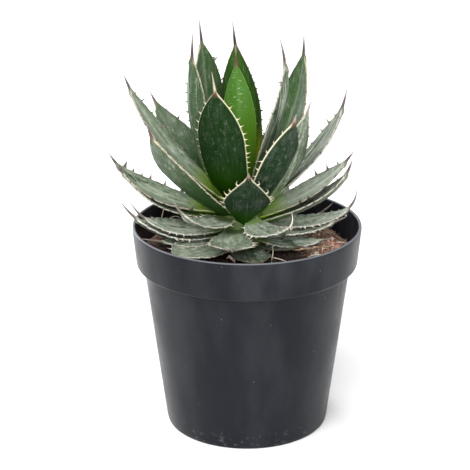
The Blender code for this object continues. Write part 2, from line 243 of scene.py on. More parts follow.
def dust_group():
    """Settled dust: a mask of streaky film and of bright specks in patches, and a fine grain."""
    kinds = {"Place": "Vector", "Film": "Float", "Specks": "Float"}
    group, given, out = new_group("dust", kinds, {"Mask": "Float", "Grain": "Float"})
    place = given.outputs["Place"]
    film = between(group, noise(group, stretched(group, place, (1.0, 1.0, 0.35)), 34.0, 4.0), 0.42, 0.72)
    specks = between(group, noise(group, place, 520.0, 2.0), 0.72, 0.78)
    patch = between(group, noise(group, place, 60.0, 2.0), 0.5, 0.66)
    specks = product(group, specks, patch, given.outputs["Specks"])
    mask = calculate(group, "MAXIMUM", product(group, film, given.outputs["Film"]), specks)
    feed(group, out, {"Mask": mask, "Grain": noise(group, place, 900.0, 3.0)})
    return group


def pot_plastic(dust):
    """Dark moulded plastic: satin, with a fine orange-peel bump and a film of dust.

    The band is scuffed paler in upright streaks, which also serve as a painted highlight, the
    edge of the lip has a painted highlight, and grit clings to the wall above the foot.
    """
    material, tree, shader, place = new_material("dark_pot_plastic")
    film = add_node(tree, "ShaderNodeGroup", {"Place": place, "Film": 0.05, "Specks": 0.7}, node_tree=dust)
    height = add_node(tree, "ShaderNodeSeparateXYZ", {0: place}).outputs[2]
    low_dust = between(tree, height, DUST_TOP * MM, 0.0, 0.0, 0.22)
    grit = between(tree, noise(tree, place, 300.0, 3.0), 0.55, 0.7)
    mask = calculate(tree, "MAXIMUM", film.outputs["Mask"], product(tree, low_dust, grit))
    colour = blended(tree, noise(tree, place, 9.0, 2.0), (0.005, 0.006, 0.009), (0.009, 0.0105, 0.0155))
    streaks = noise(tree, stretched(tree, place, (1.0, 1.0, 0.4)), 40.0, 4.0)
    on_band = between(tree, height, RUBBED_SHEEN_FROM * MM, RUBBED_SHEEN_FULL * MM)
    # Scuffed streaks on the band, paled further as a painted highlight.
    rubbed_and_sheen = product(tree, between(tree, streaks, 0.4, 0.66, 0.0, 0.045), on_band)
    # A painted highlight along the edge of the lip.
    lip = between(tree, height, LIP_HIGHLIGHT_FROM * MM, LIP_HIGHLIGHT_FULL * MM, 0.0, 0.7)
    for share, paler in ((rubbed_and_sheen, (0.20, 0.21, 0.23)), (lip, (0.20, 0.21, 0.23)), (mask, (0.20, 0.21, 0.22))):
        colour = blended(tree, share, colour, paler)
    rough = between(tree, noise(tree, place, 45.0, 4.0), 0.3, 0.7, 0.30, 0.40)
    rough = calculate(tree, "ADD", rough, product(tree, mask, 0.5))
    feed(tree, shader, {"Base Color": colour, "Roughness": rough, "Specular IOR Level": 0.15})
    bumpy(tree, shader, film.outputs["Grain"], 0.04)
    return material


def build_pot(material):
    """The turned shell, with turns set closer together at the mould line, and its drain holes.

    The mould line is a groove in the outer wall under the band. Its depth across the
    line is a bell curve, the exponential of minus the squared distance, and it fades out downwards.
    """
    inner = RIM_RADIUS - POT_WALL
    corners = (
        (0.0, POT_FLOOR),
        (FOOT_RADIUS - POT_WALL - 2.0, POT_FLOOR),
        (FOOT_RADIUS - POT_WALL + 0.6, POT_FLOOR + 2.5),
        (BODY_TOP_RADIUS - POT_WALL, BAND_FOOT - 1.5),
        (BAND_FOOT_RADIUS - POT_WALL, BAND_FOOT + 2.5),
        (inner - 0.1, POT_HEIGHT - 1.6),
        (inner + 0.1, POT_HEIGHT),
        (RIM_RADIUS - 0.1, POT_HEIGHT),
        (RIM_RADIUS, POT_HEIGHT - 1.8),
        (BAND_FOOT_RADIUS + 0.4, BAND_FOOT + 4.6),
        (BAND_FOOT_RADIUS - 0.1, BAND_FOOT + 0.1),
        (BODY_TOP_RADIUS + 1.6, BAND_FOOT - 0.1),
        (BODY_TOP_RADIUS, BAND_FOOT - 0.9),
        (FOOT_RADIUS + 0.6, 2.6),
        (FOOT_RADIUS - 0.2, 0.0),
        (FOOT_RADIUS - 5.0, 0.0),
        (FOOT_RADIUS - 7.0, FOOT_RECESS),
        (20.0, FOOT_RECESS),
        (18.0, 0.0),
        (0.0, 0.0),
    )
    trims = (1, 1, 1.2, 1.5, 0.8, 0.9, 0.9, 1.0, 2.5, 2.2, 0.5, 0.5, 1.4, 0.9, 0.6, 0.6, 0.6, 0.6)
    profile = rounded(corners, trims)
    near_line = np.radians(np.linspace(-1.0, 1.0, 13))
    turns = full_turn(POT_TURNS) - math.pi
    turns = turns[np.abs(turns - MOULD_LINE) > near_line[-1]]
    turns = np.sort(np.concatenate((turns, MOULD_LINE + near_line)))
    outer_wall = int(np.argmin(np.diff(profile[:, 1])))
    filling = np.linspace(profile[outer_wall], profile[outer_wall + 1], 24)[1:-1]
    profile = np.insert(profile, outer_wall + 1, filling, axis=0)
    points = turned(profile[1:-1], turns)
    outside = np.arange(len(profile) - 2) > np.argmax(profile[:, 0])
    fade_from, fade_full = MOULD_LINE_FADES
    shown = clamped((points[..., 2] - fade_from) / (fade_full - fade_from))
    shown = shown * (points[..., 2] < BAND_FOOT - 1.0)
    line = np.exp(-(((turns - MOULD_LINE) * BODY_TOP_RADIUS / MOULD_LINE_HALF) ** 2))[None, :]
    groove = 1.0 - MOULD_LINE_DEPTH * line * shown * outside[:, None] / BODY_TOP_RADIUS
    points[..., :2] *= groove[..., None]
    poles = ((0, 0, profile[0, 1]), (0, 0, profile[-1, 1]))
    pot = capped_piece("pot_shell", points, poles, material)
    drains = []
    for hole in range(DRAIN_HOLES):
        turn = math.tau * (hole + 0.5) / DRAIN_HOLES
        bpy.ops.mesh.primitive_cylinder_add(
            vertices=32,
            radius=DRAIN_RADIUS * MM,
            depth=16.0 * MM,
            location=(DRAIN_CIRCLE * MM * math.cos(turn), DRAIN_CIRCLE * MM * math.sin(turn), 0.0),
        )
        drains.append(bpy.context.object)
        modifier = pot.modifiers.new("drain", "BOOLEAN")
        modifier.solver = "MANIFOLD"
        modifier.object = drains[-1]
    whole = bpy.data.meshes.new_from_object(pot.evaluated_get(bpy.context.evaluated_depsgraph_get()))
    pot.modifiers.clear()
    pot.data = whole
    whole.set_sharp_from_angle(angle=math.radians(40))
    for drain in drains:
        bpy.data.objects.remove(drain)
    return pot


dust = dust_group()
pot = build_pot(pot_plastic(dust))
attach(pot, "root")
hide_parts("pot")


# The soil: coconut coir pressed in by hand, a low mound that ends in a dark gutter along
# the wall. It is one body down to the pot's floor, rough on top.
SOIL_RADII = (0.0, 12.0, 30.0, 45.0, 58.0, 68.0, 75.0, 80.35)
SOIL_LEVELS = (-17.0, -17.0, -17.0, -16.2, -16.0, -17.5, -20.5, -24.0)
SOIL_GAP = 0.35
SOIL_RINGS = 84
SOIL_TURNS = 300

# The soil is darkest towards the front and the middle, with painted shade that also stands for
# wet coir, and keeps its brown at the right and at the back. Its dryness is the distance to the
# right, or a share of the distance to the left, with a share of the distance to the back and some noise.
# It is dry where that is over the first of the last two measures, and dark under the second.
DRY_LEFT = -0.35
DRY_BACK = 0.8
DRY_WANDER = 30.0
DRY_FROM = 60.0
DAMP_SHADE_TO = 28.0


def lumps(x, y, cell, seed):
    """Smooth random hills between -1 and 1: lattice values a cell apart, eased between."""
    values = np.random.default_rng(seed).uniform(-1, 1, (64, 64))
    u, v = x / cell + 32.0, y / cell + 32.0
    i, j = np.floor(u).astype(int), np.floor(v).astype(int)
    a, b = u - i, v - j
    a, b = a * a * (3 - 2 * a), b * b * (3 - 2 * b)
    i, j = i % 63, j % 63
    low = values[i, j] * (1 - a) + values[i + 1, j] * a
    high = values[i, j + 1] * (1 - a) + values[i + 1, j + 1] * a
    return low * (1 - b) + high * b


def soil_height(x, y):
    """Height of the soil: the mound's levels by radius, long swells, and crumbs of three sizes."""
    radius = np.hypot(x, y)
    turn = np.arctan2(y, x)
    level = np.interp(radius, SOIL_RADII, SOIL_LEVELS)
    swell = 0.5 * np.sin(5.0 * turn + radius * 0.31) + 0.35 * np.sin(11.0 * turn - radius * 0.5)
    rough = 0.9 * lumps(x, y, 6.1, 11) + 0.6 * lumps(x, y, 2.9, 12) + 0.35 * lumps(x, y, 1.5, 13)
    fade = clamped((80.0 - radius) / 4.0) * clamped((radius - 2.0) / 12.0)
    return POT_HEIGHT + level + (swell + rough) * fade


def coir_material(name, dark, light, tag=None):
    """Matt coir: browns that change by crumb and fibre, nearly black with painted shade towards the front and
    the middle, as on wet coir.
    """
    material, tree, shader, place = new_material(name)
    if tag:
        tone = add_node(tree, "ShaderNodeAttribute", attribute_name=tag).outputs["Fac"]
    else:
        tone = between(tree, noise(tree, place, 420.0, 6.0, 0.7), 0.36, 0.66)
    fine = noise(tree, place, 1500.0, 3.0, 0.6)
    colour = blended(tree, tone, dark, light)
    colour = blended(tree, between(tree, fine, 0.35, 0.7, 0.0, 0.6), colour, (0.05, 0.028, 0.018))
    x, y, _ = add_node(tree, "ShaderNodeSeparateXYZ", {0: place}).outputs
    dry = calculate(tree, "MAXIMUM", x, product(tree, x, DRY_LEFT))
    dry = calculate(tree, "ADD", dry, product(tree, y, DRY_BACK))
    dry = calculate(tree, "ADD", dry, product(tree, noise(tree, place, 70.0, 3.0), DRY_WANDER * MM))
    # Painted shade, which also reads as wet coir: nearly black towards the front and the middle.
    damp_and_shade = between(tree, dry, DRY_FROM * MM, DAMP_SHADE_TO * MM, 0.0, 0.95)
    colour = blended(tree, damp_and_shade, colour, (0.012, 0.008, 0.006))
    feed(tree, shader, {"Base Color": colour, "Roughness": 0.95, "Specular IOR Level": 0.2})
    bumpy(tree, shader, fine, 0.5)
    return material


def build_soil(material):
    """A polar grid for the top, closed down the wall and under the body."""
    turns = full_turn(SOIL_TURNS)
    radii = np.linspace(1.0, SOIL_RADII[-1], SOIL_RINGS)
    x, y = radii[:, None] * np.cos(turns), radii[:, None] * np.sin(turns)
    top = np.stack((x, y, soil_height(x, y)), axis=-1)
    below = np.array(
        (
            (BAND_FOOT_RADIUS - POT_WALL - SOIL_GAP, BAND_FOOT + 2.6),
            (BODY_TOP_RADIUS - POT_WALL - SOIL_GAP, BAND_FOOT - 1.4),
            (FOOT_RADIUS - POT_WALL + 0.15, POT_FLOOR + 2.6),
            (FOOT_RADIUS - POT_WALL - 2.3, POT_FLOOR + SOIL_GAP),
        )
    )
    poles = ((0, 0, soil_height(0.0, 0.0)), (0, 0, POT_FLOOR + SOIL_GAP))
    return capped_piece("coir_bed", np.concatenate((top, turned(below, turns))), poles, material)


soil = build_soil(coir_material("coir_bed", (0.09, 0.034, 0.02), (0.95, 0.52, 0.38)))
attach(soil, "root")
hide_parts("soil")


# The loose coir on top: short curved strands of husk fibre and torn crumbs of pith. They lie
# as they fell: the crumbs are sunk a little into the bed, and the strands rest on it, many with
# their ends up.
STRANDS = 2600
STRAND_STEPS = 6
STRAND_LENGTHS = (3.0, 15.0)
STRAND_RADII = (0.13, 0.30)
CRUMBS = 1100
CRUMB_RADIUS = 1.9
SPREAD = 77.5
CRUMB_SPREAD = 78.0
WALL_REACH = 78.8


def tubes(paths, radii, around):
    """Points of thin tubes: a small circle of each radius, square to its path, at each step."""
    heading = np.gradient(paths, axis=1)
    heading /= np.linalg.norm(heading, axis=-1, keepdims=True)
    side = np.cross(heading, (0.13, 0.29, 0.95))
    side /= np.linalg.norm(side, axis=-1, keepdims=True)
    over = np.cross(side, heading)
    turn = full_turn(around)[:, None]
    ring = np.cos(turn) * side[:, :, None] + np.sin(turn) * over[:, :, None]
    return paths[:, :, None] + radii[:, :, None, None] * ring


def many(faces, points_of_one, count):
    """The faces of one shape repeated for a row of like shapes."""
    return (faces + (np.arange(count) * points_of_one)[:, None, None]).reshape(-1, faces.shape[1])


def scattered(chance, spread, count):
    """Random places, spread evenly over the soil out to a radius."""
    radius = spread * np.sqrt(chance.uniform(0.02, 1, count))
    turn = chance.uniform(0, math.tau, count)
    return radius * np.cos(turn), radius * np.sin(turn)


def strands_piece(name, paths, radii, tone, around, material):
    """One mesh of many closed tubes, each drawn to a point at both ends."""
    count, steps = paths.shape[:2]
    ring = tubes(paths, radii, around).reshape(count, -1, 3)
    each = np.concatenate((ring, paths[:, :1], paths[:, -1:]), axis=1)
    size = each.shape[1]
    quads = many(ring_quads(steps, around), size, count)
    ends = many(cone_ends(steps, around, size - 2, size - 1), size, count)
    tags = {"tone": np.repeat(tone, size)}
    return piece_from(name, each.reshape(-1, 3), quads, ends, material, tags)


def build_strands(material):
    """Strands set at random over the bed, each an arc of a circle with a little rise."""
    chance = np.random.default_rng(21)
    x, y = scattered(chance, SPREAD, STRANDS)
    length = chance.uniform(*STRAND_LENGTHS, STRANDS)
    lay = chance.uniform(0, math.tau, STRANDS)
    bend = chance.normal(0.0, 0.6, STRANDS)
    t = np.linspace(-0.5, 0.5, STRAND_STEPS)[None, :]
    angle = lay[:, None] + bend[:, None] * t
    dx = np.cos(angle) * length[:, None] / STRAND_STEPS
    dy = np.sin(angle) * length[:, None] / STRAND_STEPS
    px = x[:, None] + np.cumsum(dx, axis=1) - STRAND_STEPS / 2 * dx[:, :1]
    py = y[:, None] + np.cumsum(dy, axis=1) - STRAND_STEPS / 2 * dy[:, :1]
    pull = np.minimum(1.0, WALL_REACH / np.hypot(px, py))
    px, py = px * pull, py * pull
    ends_high = chance.uniform(-0.3, 1.0, STRANDS)[:, None] * (2 * t) ** 2
    ends_high = ends_high * chance.uniform(0, 3.2, STRANDS)[:, None]
    pz = soil_height(px, py) + 0.25 + ends_high
    radii = np.broadcast_to(chance.uniform(*STRAND_RADII, STRANDS)[:, None], px.shape) * (1 - 1.3 * t**2)
    tone = chance.uniform(0, 1, STRANDS) ** 1.2
    return strands_piece("coir_strands", np.stack((px, py, pz), axis=-1), radii, tone, 3, material)


def build_crumbs(material):
    """Twenty-faced crumbs, each stretched and turned at random."""
    chance = np.random.default_rng(22)
    g = (1 + 5**0.5) / 2  # the golden ratio, which places the corners of a twenty-faced solid
    corners = np.array(
        (
            (-1, g, 0), (1, g, 0), (-1, -g, 0), (1, -g, 0), (0, -1, g), (0, 1, g),
            (0, -1, -g), (0, 1, -g), (g, 0, -1), (g, 0, 1), (-g, 0, -1), (-g, 0, 1),
        )
    ) / 1.9
    faces = np.array(
        (
            (0, 11, 5), (0, 5, 1), (0, 1, 7), (0, 7, 10), (0, 10, 11), (1, 5, 9), (5, 11, 4),
            (11, 10, 2), (10, 7, 6), (7, 1, 8), (3, 9, 4), (3, 4, 2), (3, 2, 6), (3, 6, 8),
            (3, 8, 9), (4, 9, 5), (2, 4, 11), (6, 2, 10), (8, 6, 7), (9, 8, 1),
        )
    )
    x, y = scattered(chance, CRUMB_SPREAD, CRUMBS)
    size = chance.uniform(0.5, 1.0, CRUMBS) ** 2 * CRUMB_RADIUS
    stretch = chance.uniform(0.6, 1.3, (CRUMBS, 1, 3))
    jitter = chance.uniform(0.8, 1.15, (CRUMBS, 12, 1))
    lay = chance.uniform(0, math.tau, (CRUMBS, 1))
    shape = corners[None] * stretch * jitter * size[:, None, None]
    px = np.cos(lay) * shape[..., 0] - np.sin(lay) * shape[..., 1] + x[:, None]
    py = np.sin(lay) * shape[..., 0] + np.cos(lay) * shape[..., 1] + y[:, None]
    pz = shape[..., 2] + (soil_height(x, y) + 0.3 * size)[:, None]
    points = np.stack((px, py, pz), axis=-1).reshape(-1, 3)
    tags = {"tone": np.repeat(chance.uniform(0, 1, CRUMBS), 12)}
    no_quads = np.zeros((0, 4), int)
    return piece_from("coir_crumbs", points, no_quads, many(faces, 12, CRUMBS), material, tags)


husk = coir_material("coir_husk", (0.18, 0.07, 0.04), (1.0, 0.78, 0.62), tag="tone")
for loose in (build_strands(husk), build_crumbs(husk)):
    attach(loose, "root")


# The stem: the short pale crown that the leaves grow from, ringed by the scars of old
# leaves, on a root that goes down into the soil. It grew there, so nothing fixes it.
STEM_X = -5.0
CROWN_RADIUS = 18.0
CROWN_HEIGHT = 34.0
CROWN_WAIST = -8.0
STEM_TURNS = 72
GREEN_ABOVE = 150.0
STRAW_BELOW = 140.0
ROOT_PROFILE = ((15.5, -21.0), (11.0, -32.0), (8.0, -58.0), (4.5, -64.0), (0.0, -65.0))


def stem_flesh():
    """Pale green flesh that turns straw brown below the leaves."""
    material, tree, shader, place = new_material("stem_flesh_skin")
    height = add_node(tree, "ShaderNodeSeparateXYZ", {0: place}).outputs[2]
    rings = noise(tree, stretched(tree, place, (1.0, 1.0, 6.0)), 220.0, 4.0)
    dry = between(tree, height, GREEN_ABOVE * MM, STRAW_BELOW * MM)
    colour = blended(tree, dry, (0.05, 0.11, 0.012), (0.20, 0.13, 0.07))
    colour = blended(tree, between(tree, rings, 0.4, 0.7, 0.0, 0.7), colour, (0.10, 0.09, 0.04))
    feed(tree, shader, {"Base Color": colour, "Roughness": 0.6})
    bumpy(tree, shader, rings, 0.4)
    return material


def build_stem(material):
    """Half an egg above a tapering root, with shallow rings where old leaves stood."""
    angle = np.radians(np.linspace(4, 105, 46))
    crown = np.stack((CROWN_RADIUS * np.sin(angle), CROWN_WAIST + CROWN_HEIGHT * np.cos(angle)), axis=-1)
    crown[:, 0] -= 0.18 * (1 + np.cos(crown[:, 1] * 2.4)) * (crown[:, 1] < 5.0)
    profile = np.concatenate((crown, ROOT_PROFILE))
    profile[:, 1] += POT_HEIGHT
    turns = full_turn(STEM_TURNS)
    points = turned(profile[:-1], turns)
    wave = 1.0 - 0.012 * np.cos(9.0 * turns + points[..., 2] * 0.6)
    points[..., :2] *= wave[..., None]
    points[..., 0] += STEM_X
    poles = ((STEM_X, 0, POT_HEIGHT + CROWN_WAIST + CROWN_HEIGHT), (STEM_X, 0, profile[-1, 1]))
    return capped_piece("stem_crown", points, poles, material)


stem = build_stem(stem_flesh())
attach(stem, "root")
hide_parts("stem")


# The leaves: stiff, thick blades of waxy flesh, each grown in one piece with a pale horny
# margin, hooked teeth on it and a long spine at its end. They sit round the stem in a
# spiral, the youngest upright at the centre and the oldest flat on the soil.
SPINE_LENGTH = 17.0
ROOT_BURIED = 6.0
HANDLE_SHARE = 0.38
SWAY_HELD = 0.57
KEEL_THICKNESS = 4.4
KEEL_TAPER = 2.0
KEEL_POWER = 1.35
CHANNEL_POWER = 1.7
MARGIN_THICKNESS = 1.0
MARGIN_STEPS = (1.3, 0.62, 0.24, 0.0)
MARGIN_BEAD = 0.14
MARGIN_ROUNDING = 0.34
SLENDER_HALF = 3.4
NEEDLE_HALF = 1.3
NEEDLE_RUN = 3.0
BLADE_RINGS = 66
SPINE_RINGS = 16
TOOTH_RINGS = 5
TOOTH_SIDES = 6
TOOTH_FOOT = 0.22
TOOTH_SHAFT = 0.09
TOOTH_THICKNESS = 0.42

# One row a leaf, youngest first: azimuth from the right hand side, angle down from the top of
# the crown, reach and rise of the tip, slopes at root and tip, width, channel and sway as the
# solids have them, then the finish of the skin, the tooth spacing and the tooth length.
COLUMNS = (
    "azimuth", "root", "reach", "rise", "root_pitch", "tip_pitch", "width", "channel", "sway",
    "finish", "pitch", "tooth",
)
LEAVES = {
    "leaf_bud": (-95, 8, 2, 136, 86, 94, 25, 0.40, -3, "bud", 5.0, 1.6),
    "leaf_heart": (72, 16, 8.8, 150, 80, 91, 32, 0.24, 8.5, "heart", 4.0, 2.4),
    "leaf_rear_left_tall": (137, 26, 34, 150, 54, 85, 30, 0.20, 7, "tall", 7.5, 2.8),
    "leaf_right_tall": (-11, 28, 29, 141, 75, 106, 30, 0.22, -1, "striped", 8.0, 3.2),
    "leaf_front_tall": (-114, 29, 52, 128, 50, 66, 37, 0.09, 2, "dark", 4.4, 1.6),
    "leaf_left_tall": (-158, 31, 36, 147, 51, 91, 29, 0.25, 0, "tall", 5.0, 3.0),
    "leaf_back_tall": (95, 32, 48, 120, 58, 84, 38, 0.20, 0, "tall", 7.0, 3.0),
    "leaf_rear_right_tall": (36, 34, 53, 136, 49, 95, 35, 0.23, -6, "tall", 7.5, 3.0),
    "leaf_left_upper": (173, 38, 85, 113, 38, 69, 25, 0.15, 3, "grown", 9.0, 4.6),
    "leaf_back_upper": (112, 42, 72, 94, 46, 70, 34, 0.20, 0, "grown", 8.0, 3.4),
    "leaf_front_right_upper": (-47, 43, 62, 98, 39, 66, 35, 0.22, -4, "blotched", 6.4, 3.4),
    "leaf_back_right_upper": (52, 43, 66, 84, 44, 70, 34, 0.20, 0, "grown", 8.0, 3.4),
    "leaf_right_inner": (-28, 46, 56, 101, 35, 72, 34, 0.21, 2, "speckled", 6.0, 2.6),
    "leaf_front_left_upper": (-147, 52, 82, 93, 31, 71, 38, 0.15, 7, "mottled", 7.0, 3.2),
    "leaf_right_upper": (3, 53, 77, 103, 45, 81, 27, 0.14, -3, "striped", 8.0, 4.8),
    "leaf_back_middle": (84, 53, 86, 66, 28, 56, 38, 0.20, 0, "grown", 8.0, 3.6),
    "leaf_rear_left_upper": (146, 55, 80, 90, 22, 56, 34, 0.23, 3, "mottled", 9.0, 4.4),
    "leaf_left_middle": (176, 56, 96, 55, 2, 60, 31, 0.18, 7, "grown", 8.0, 6.2),
    "leaf_front_upper": (-79, 59, 68, 61, 50, 45, 34, 0.11, -7, "blotched", 3.4, 2.0),
    "leaf_back_left_middle": (134, 60, 92, 50, 18, 54, 36, 0.20, 0, "grown", 8.0, 3.8),
    "leaf_front_left_folded": (-125, 61, 62, 32, -3, 78, 23, 0.17, -14, "worn", 4.4, 3.4),
    "leaf_front_right_lower": (-56, 63, 62, 26.5, -45, 130, 28, 0.04, 2, "old", 4.2, 4.2),
    "leaf_right_middle": (9, 64, 84, 54, 19, 55, 33, 0.15, -6, "grown", 8.0, 5.4),
    "leaf_left_middle_under": (180, 65, 91, 47.5, 3, 55, 30, 0.19, 3, "striped", 5.0, 4.0),
    "leaf_back_right_middle": (66, 69, 90, 30, 4, 50, 34, 0.20, 0, "grown", 8.0, 3.8),
    "leaf_right_middle_under": (-3, 70, 82, 52, 18, 75, 28, 0.20, -2, "striped", 7.0, 4.0),
    "leaf_back_left_inner": (154, 72, 84, 24, 2, 44, 32, 0.20, 0, "old", 8.0, 3.8),
    "leaf_back_lower": (108, 75, 90, 28, 2, 50, 34, 0.20, 0, "old", 8.0, 3.8),
    "leaf_front_lower": (-102, 75, 71, 4, -10, 11, 31, 0.13, 10, "worn", 3.6, 3.8),
    "leaf_rear_right_lower": (44, 77, 84, 16, 0, 44, 34, 0.20, 0, "old", 8.0, 3.8),
    "leaf_right_lower": (10, 81, 87, 23, -2, 90, 24, 0.18, -5, "old", 4.2, 4.2),
    "leaf_left_lower": (-174, 83, 81, 21, -8, 64, 32, 0.20, 4, "old", 4.2, 4.2),
    "leaf_right_lower_under": (2, 86, 79, 5, -6, 27, 23, 0.05, -2, "old", 4.2, 4.2),
    "leaf_left_lower_under": (-170, 89, 89, 23, -10, 58, 25, 0.20, 0, "old", 4.2, 4.2),
    "leaf_rear_right_ground": (30, 90, 82, 2, -4, 34, 30, 0.20, 0, "old", 7.0, 3.6),
    "leaf_rear_left_ground": (128, 92, 80, 4, -6, 26, 32, 0.15, 0, "old", 7.0, 3.6),
    "leaf_back_ground": (84, 93, 80, 2, -6, 24, 32, 0.15, 0, "old", 7.0, 3.6),
    "leaf_right_ground": (-12, 94, 69, -8, -8, 14, 26, 0.05, 4, "old", 4.2, 4.2),
    "leaf_front_left_ground": (-134, 94, 76, -8, -6, 4, 40, 0.12, -3, "worn", 4.2, 4.2),
    "leaf_left_ground": (-164, 95, 77, -4, -6, 14, 26, 0.15, 1, "worn", 4.2, 4.2),
    "leaf_front_ground": (-79, 96, 76, -6, -6, 6, 27, 0.12, 0, "shaded", 5.0, 3.0),
    "leaf_front_right_ground": (-28, 97, 58, -10, -4, 6, 24, 0.10, 3, "shaded", 5.0, 3.0),
}

# What most leaves share, and below it the leaves that differ: the shares of the full spine, of
# the width at the root and of the length where the blade is widest, how late it narrows, its
# roll in degrees, the share of the margin with teeth by chance, half the spine's width at its
# foot, and how far its colour turns. One leaf also has a tooth tone unlike its finish's.
COMMON = {
    "spine": 1.0, "base": 0.6, "widest": 0.52, "taper": 1.9, "roll": 0.0, "toothed": 1.0,
    "stout": 1.05, "spine_tone": 1.0,
}
SPECIAL = {
    "leaf_bud": {"spine": 0.8},
    "leaf_rear_left_tall": {"widest": 0.6, "taper": 2.3},
    "leaf_front_tall": {"base": 0.68, "widest": 0.58, "stout": 0.9, "spine_tone": 0.6},
    "leaf_right_tall": {"widest": 0.47, "roll": -6.0},
    "leaf_left_tall": {"widest": 0.6, "taper": 2.3, "roll": 8.0},
    "leaf_rear_right_tall": {"spine": 0.8},
    "leaf_front_right_upper": {"spine": 0.45, "taper": 2.1},
    "leaf_left_upper": {"spine": 0.7, "taper": 2.5, "roll": -6.5},
    "leaf_right_inner": {"spine": 0.57, "taper": 1.7, "roll": -16.0},
    "leaf_rear_left_upper": {
        "spine": 0.5, "base": 0.48, "widest": 0.67, "taper": 1.1, "roll": -13.0, "Tooth tone": 1.0,
    },
    "leaf_front_upper": {
        "spine": 0.35, "base": 0.4, "widest": 0.36, "taper": 1.2, "roll": -10.0, "toothed": 0.42,
    },
    "leaf_right_upper": {"spine": 0.83, "widest": 0.57, "taper": 2.2, "roll": 6.0},
    "leaf_front_left_upper": {"spine": 0.74, "widest": 0.45, "roll": 9.0},
    "leaf_left_middle": {"spine": 0.58, "taper": 1.7, "roll": -5.0},
    "leaf_right_middle": {"spine": 0.56, "widest": 0.48},
    "leaf_left_middle_under": {"spine": 0.45, "widest": 0.55, "roll": -6.0},
    "leaf_front_left_folded": {"spine": 0.52, "base": 0.4, "widest": 0.25, "taper": 1.1, "roll": -20.0},
    "leaf_right_middle_under": {"spine": 0.62, "roll": -4.0},
    "leaf_front_right_lower": {
        "spine": 0.8, "base": 0.4, "widest": 0.3, "taper": 2.1, "stout": 0.62, "spine_tone": 0.15,
    },
    "leaf_front_lower": {"spine": 0.5, "base": 0.35, "widest": 0.74, "taper": 3.0},
    "leaf_right_lower": {"spine": 0.9, "base": 0.5, "widest": 0.47},
    "leaf_right_lower_under": {"spine": 0.58, "widest": 0.57, "roll": -6.0},
    "leaf_right_ground": {"spine": 0.5},
    "leaf_front_left_ground": {"spine": 0.6, "widest": 0.6},
    "leaf_front_ground": {"spine": 0.6},
    "leaf_front_right_ground": {"spine": 0.65},
}

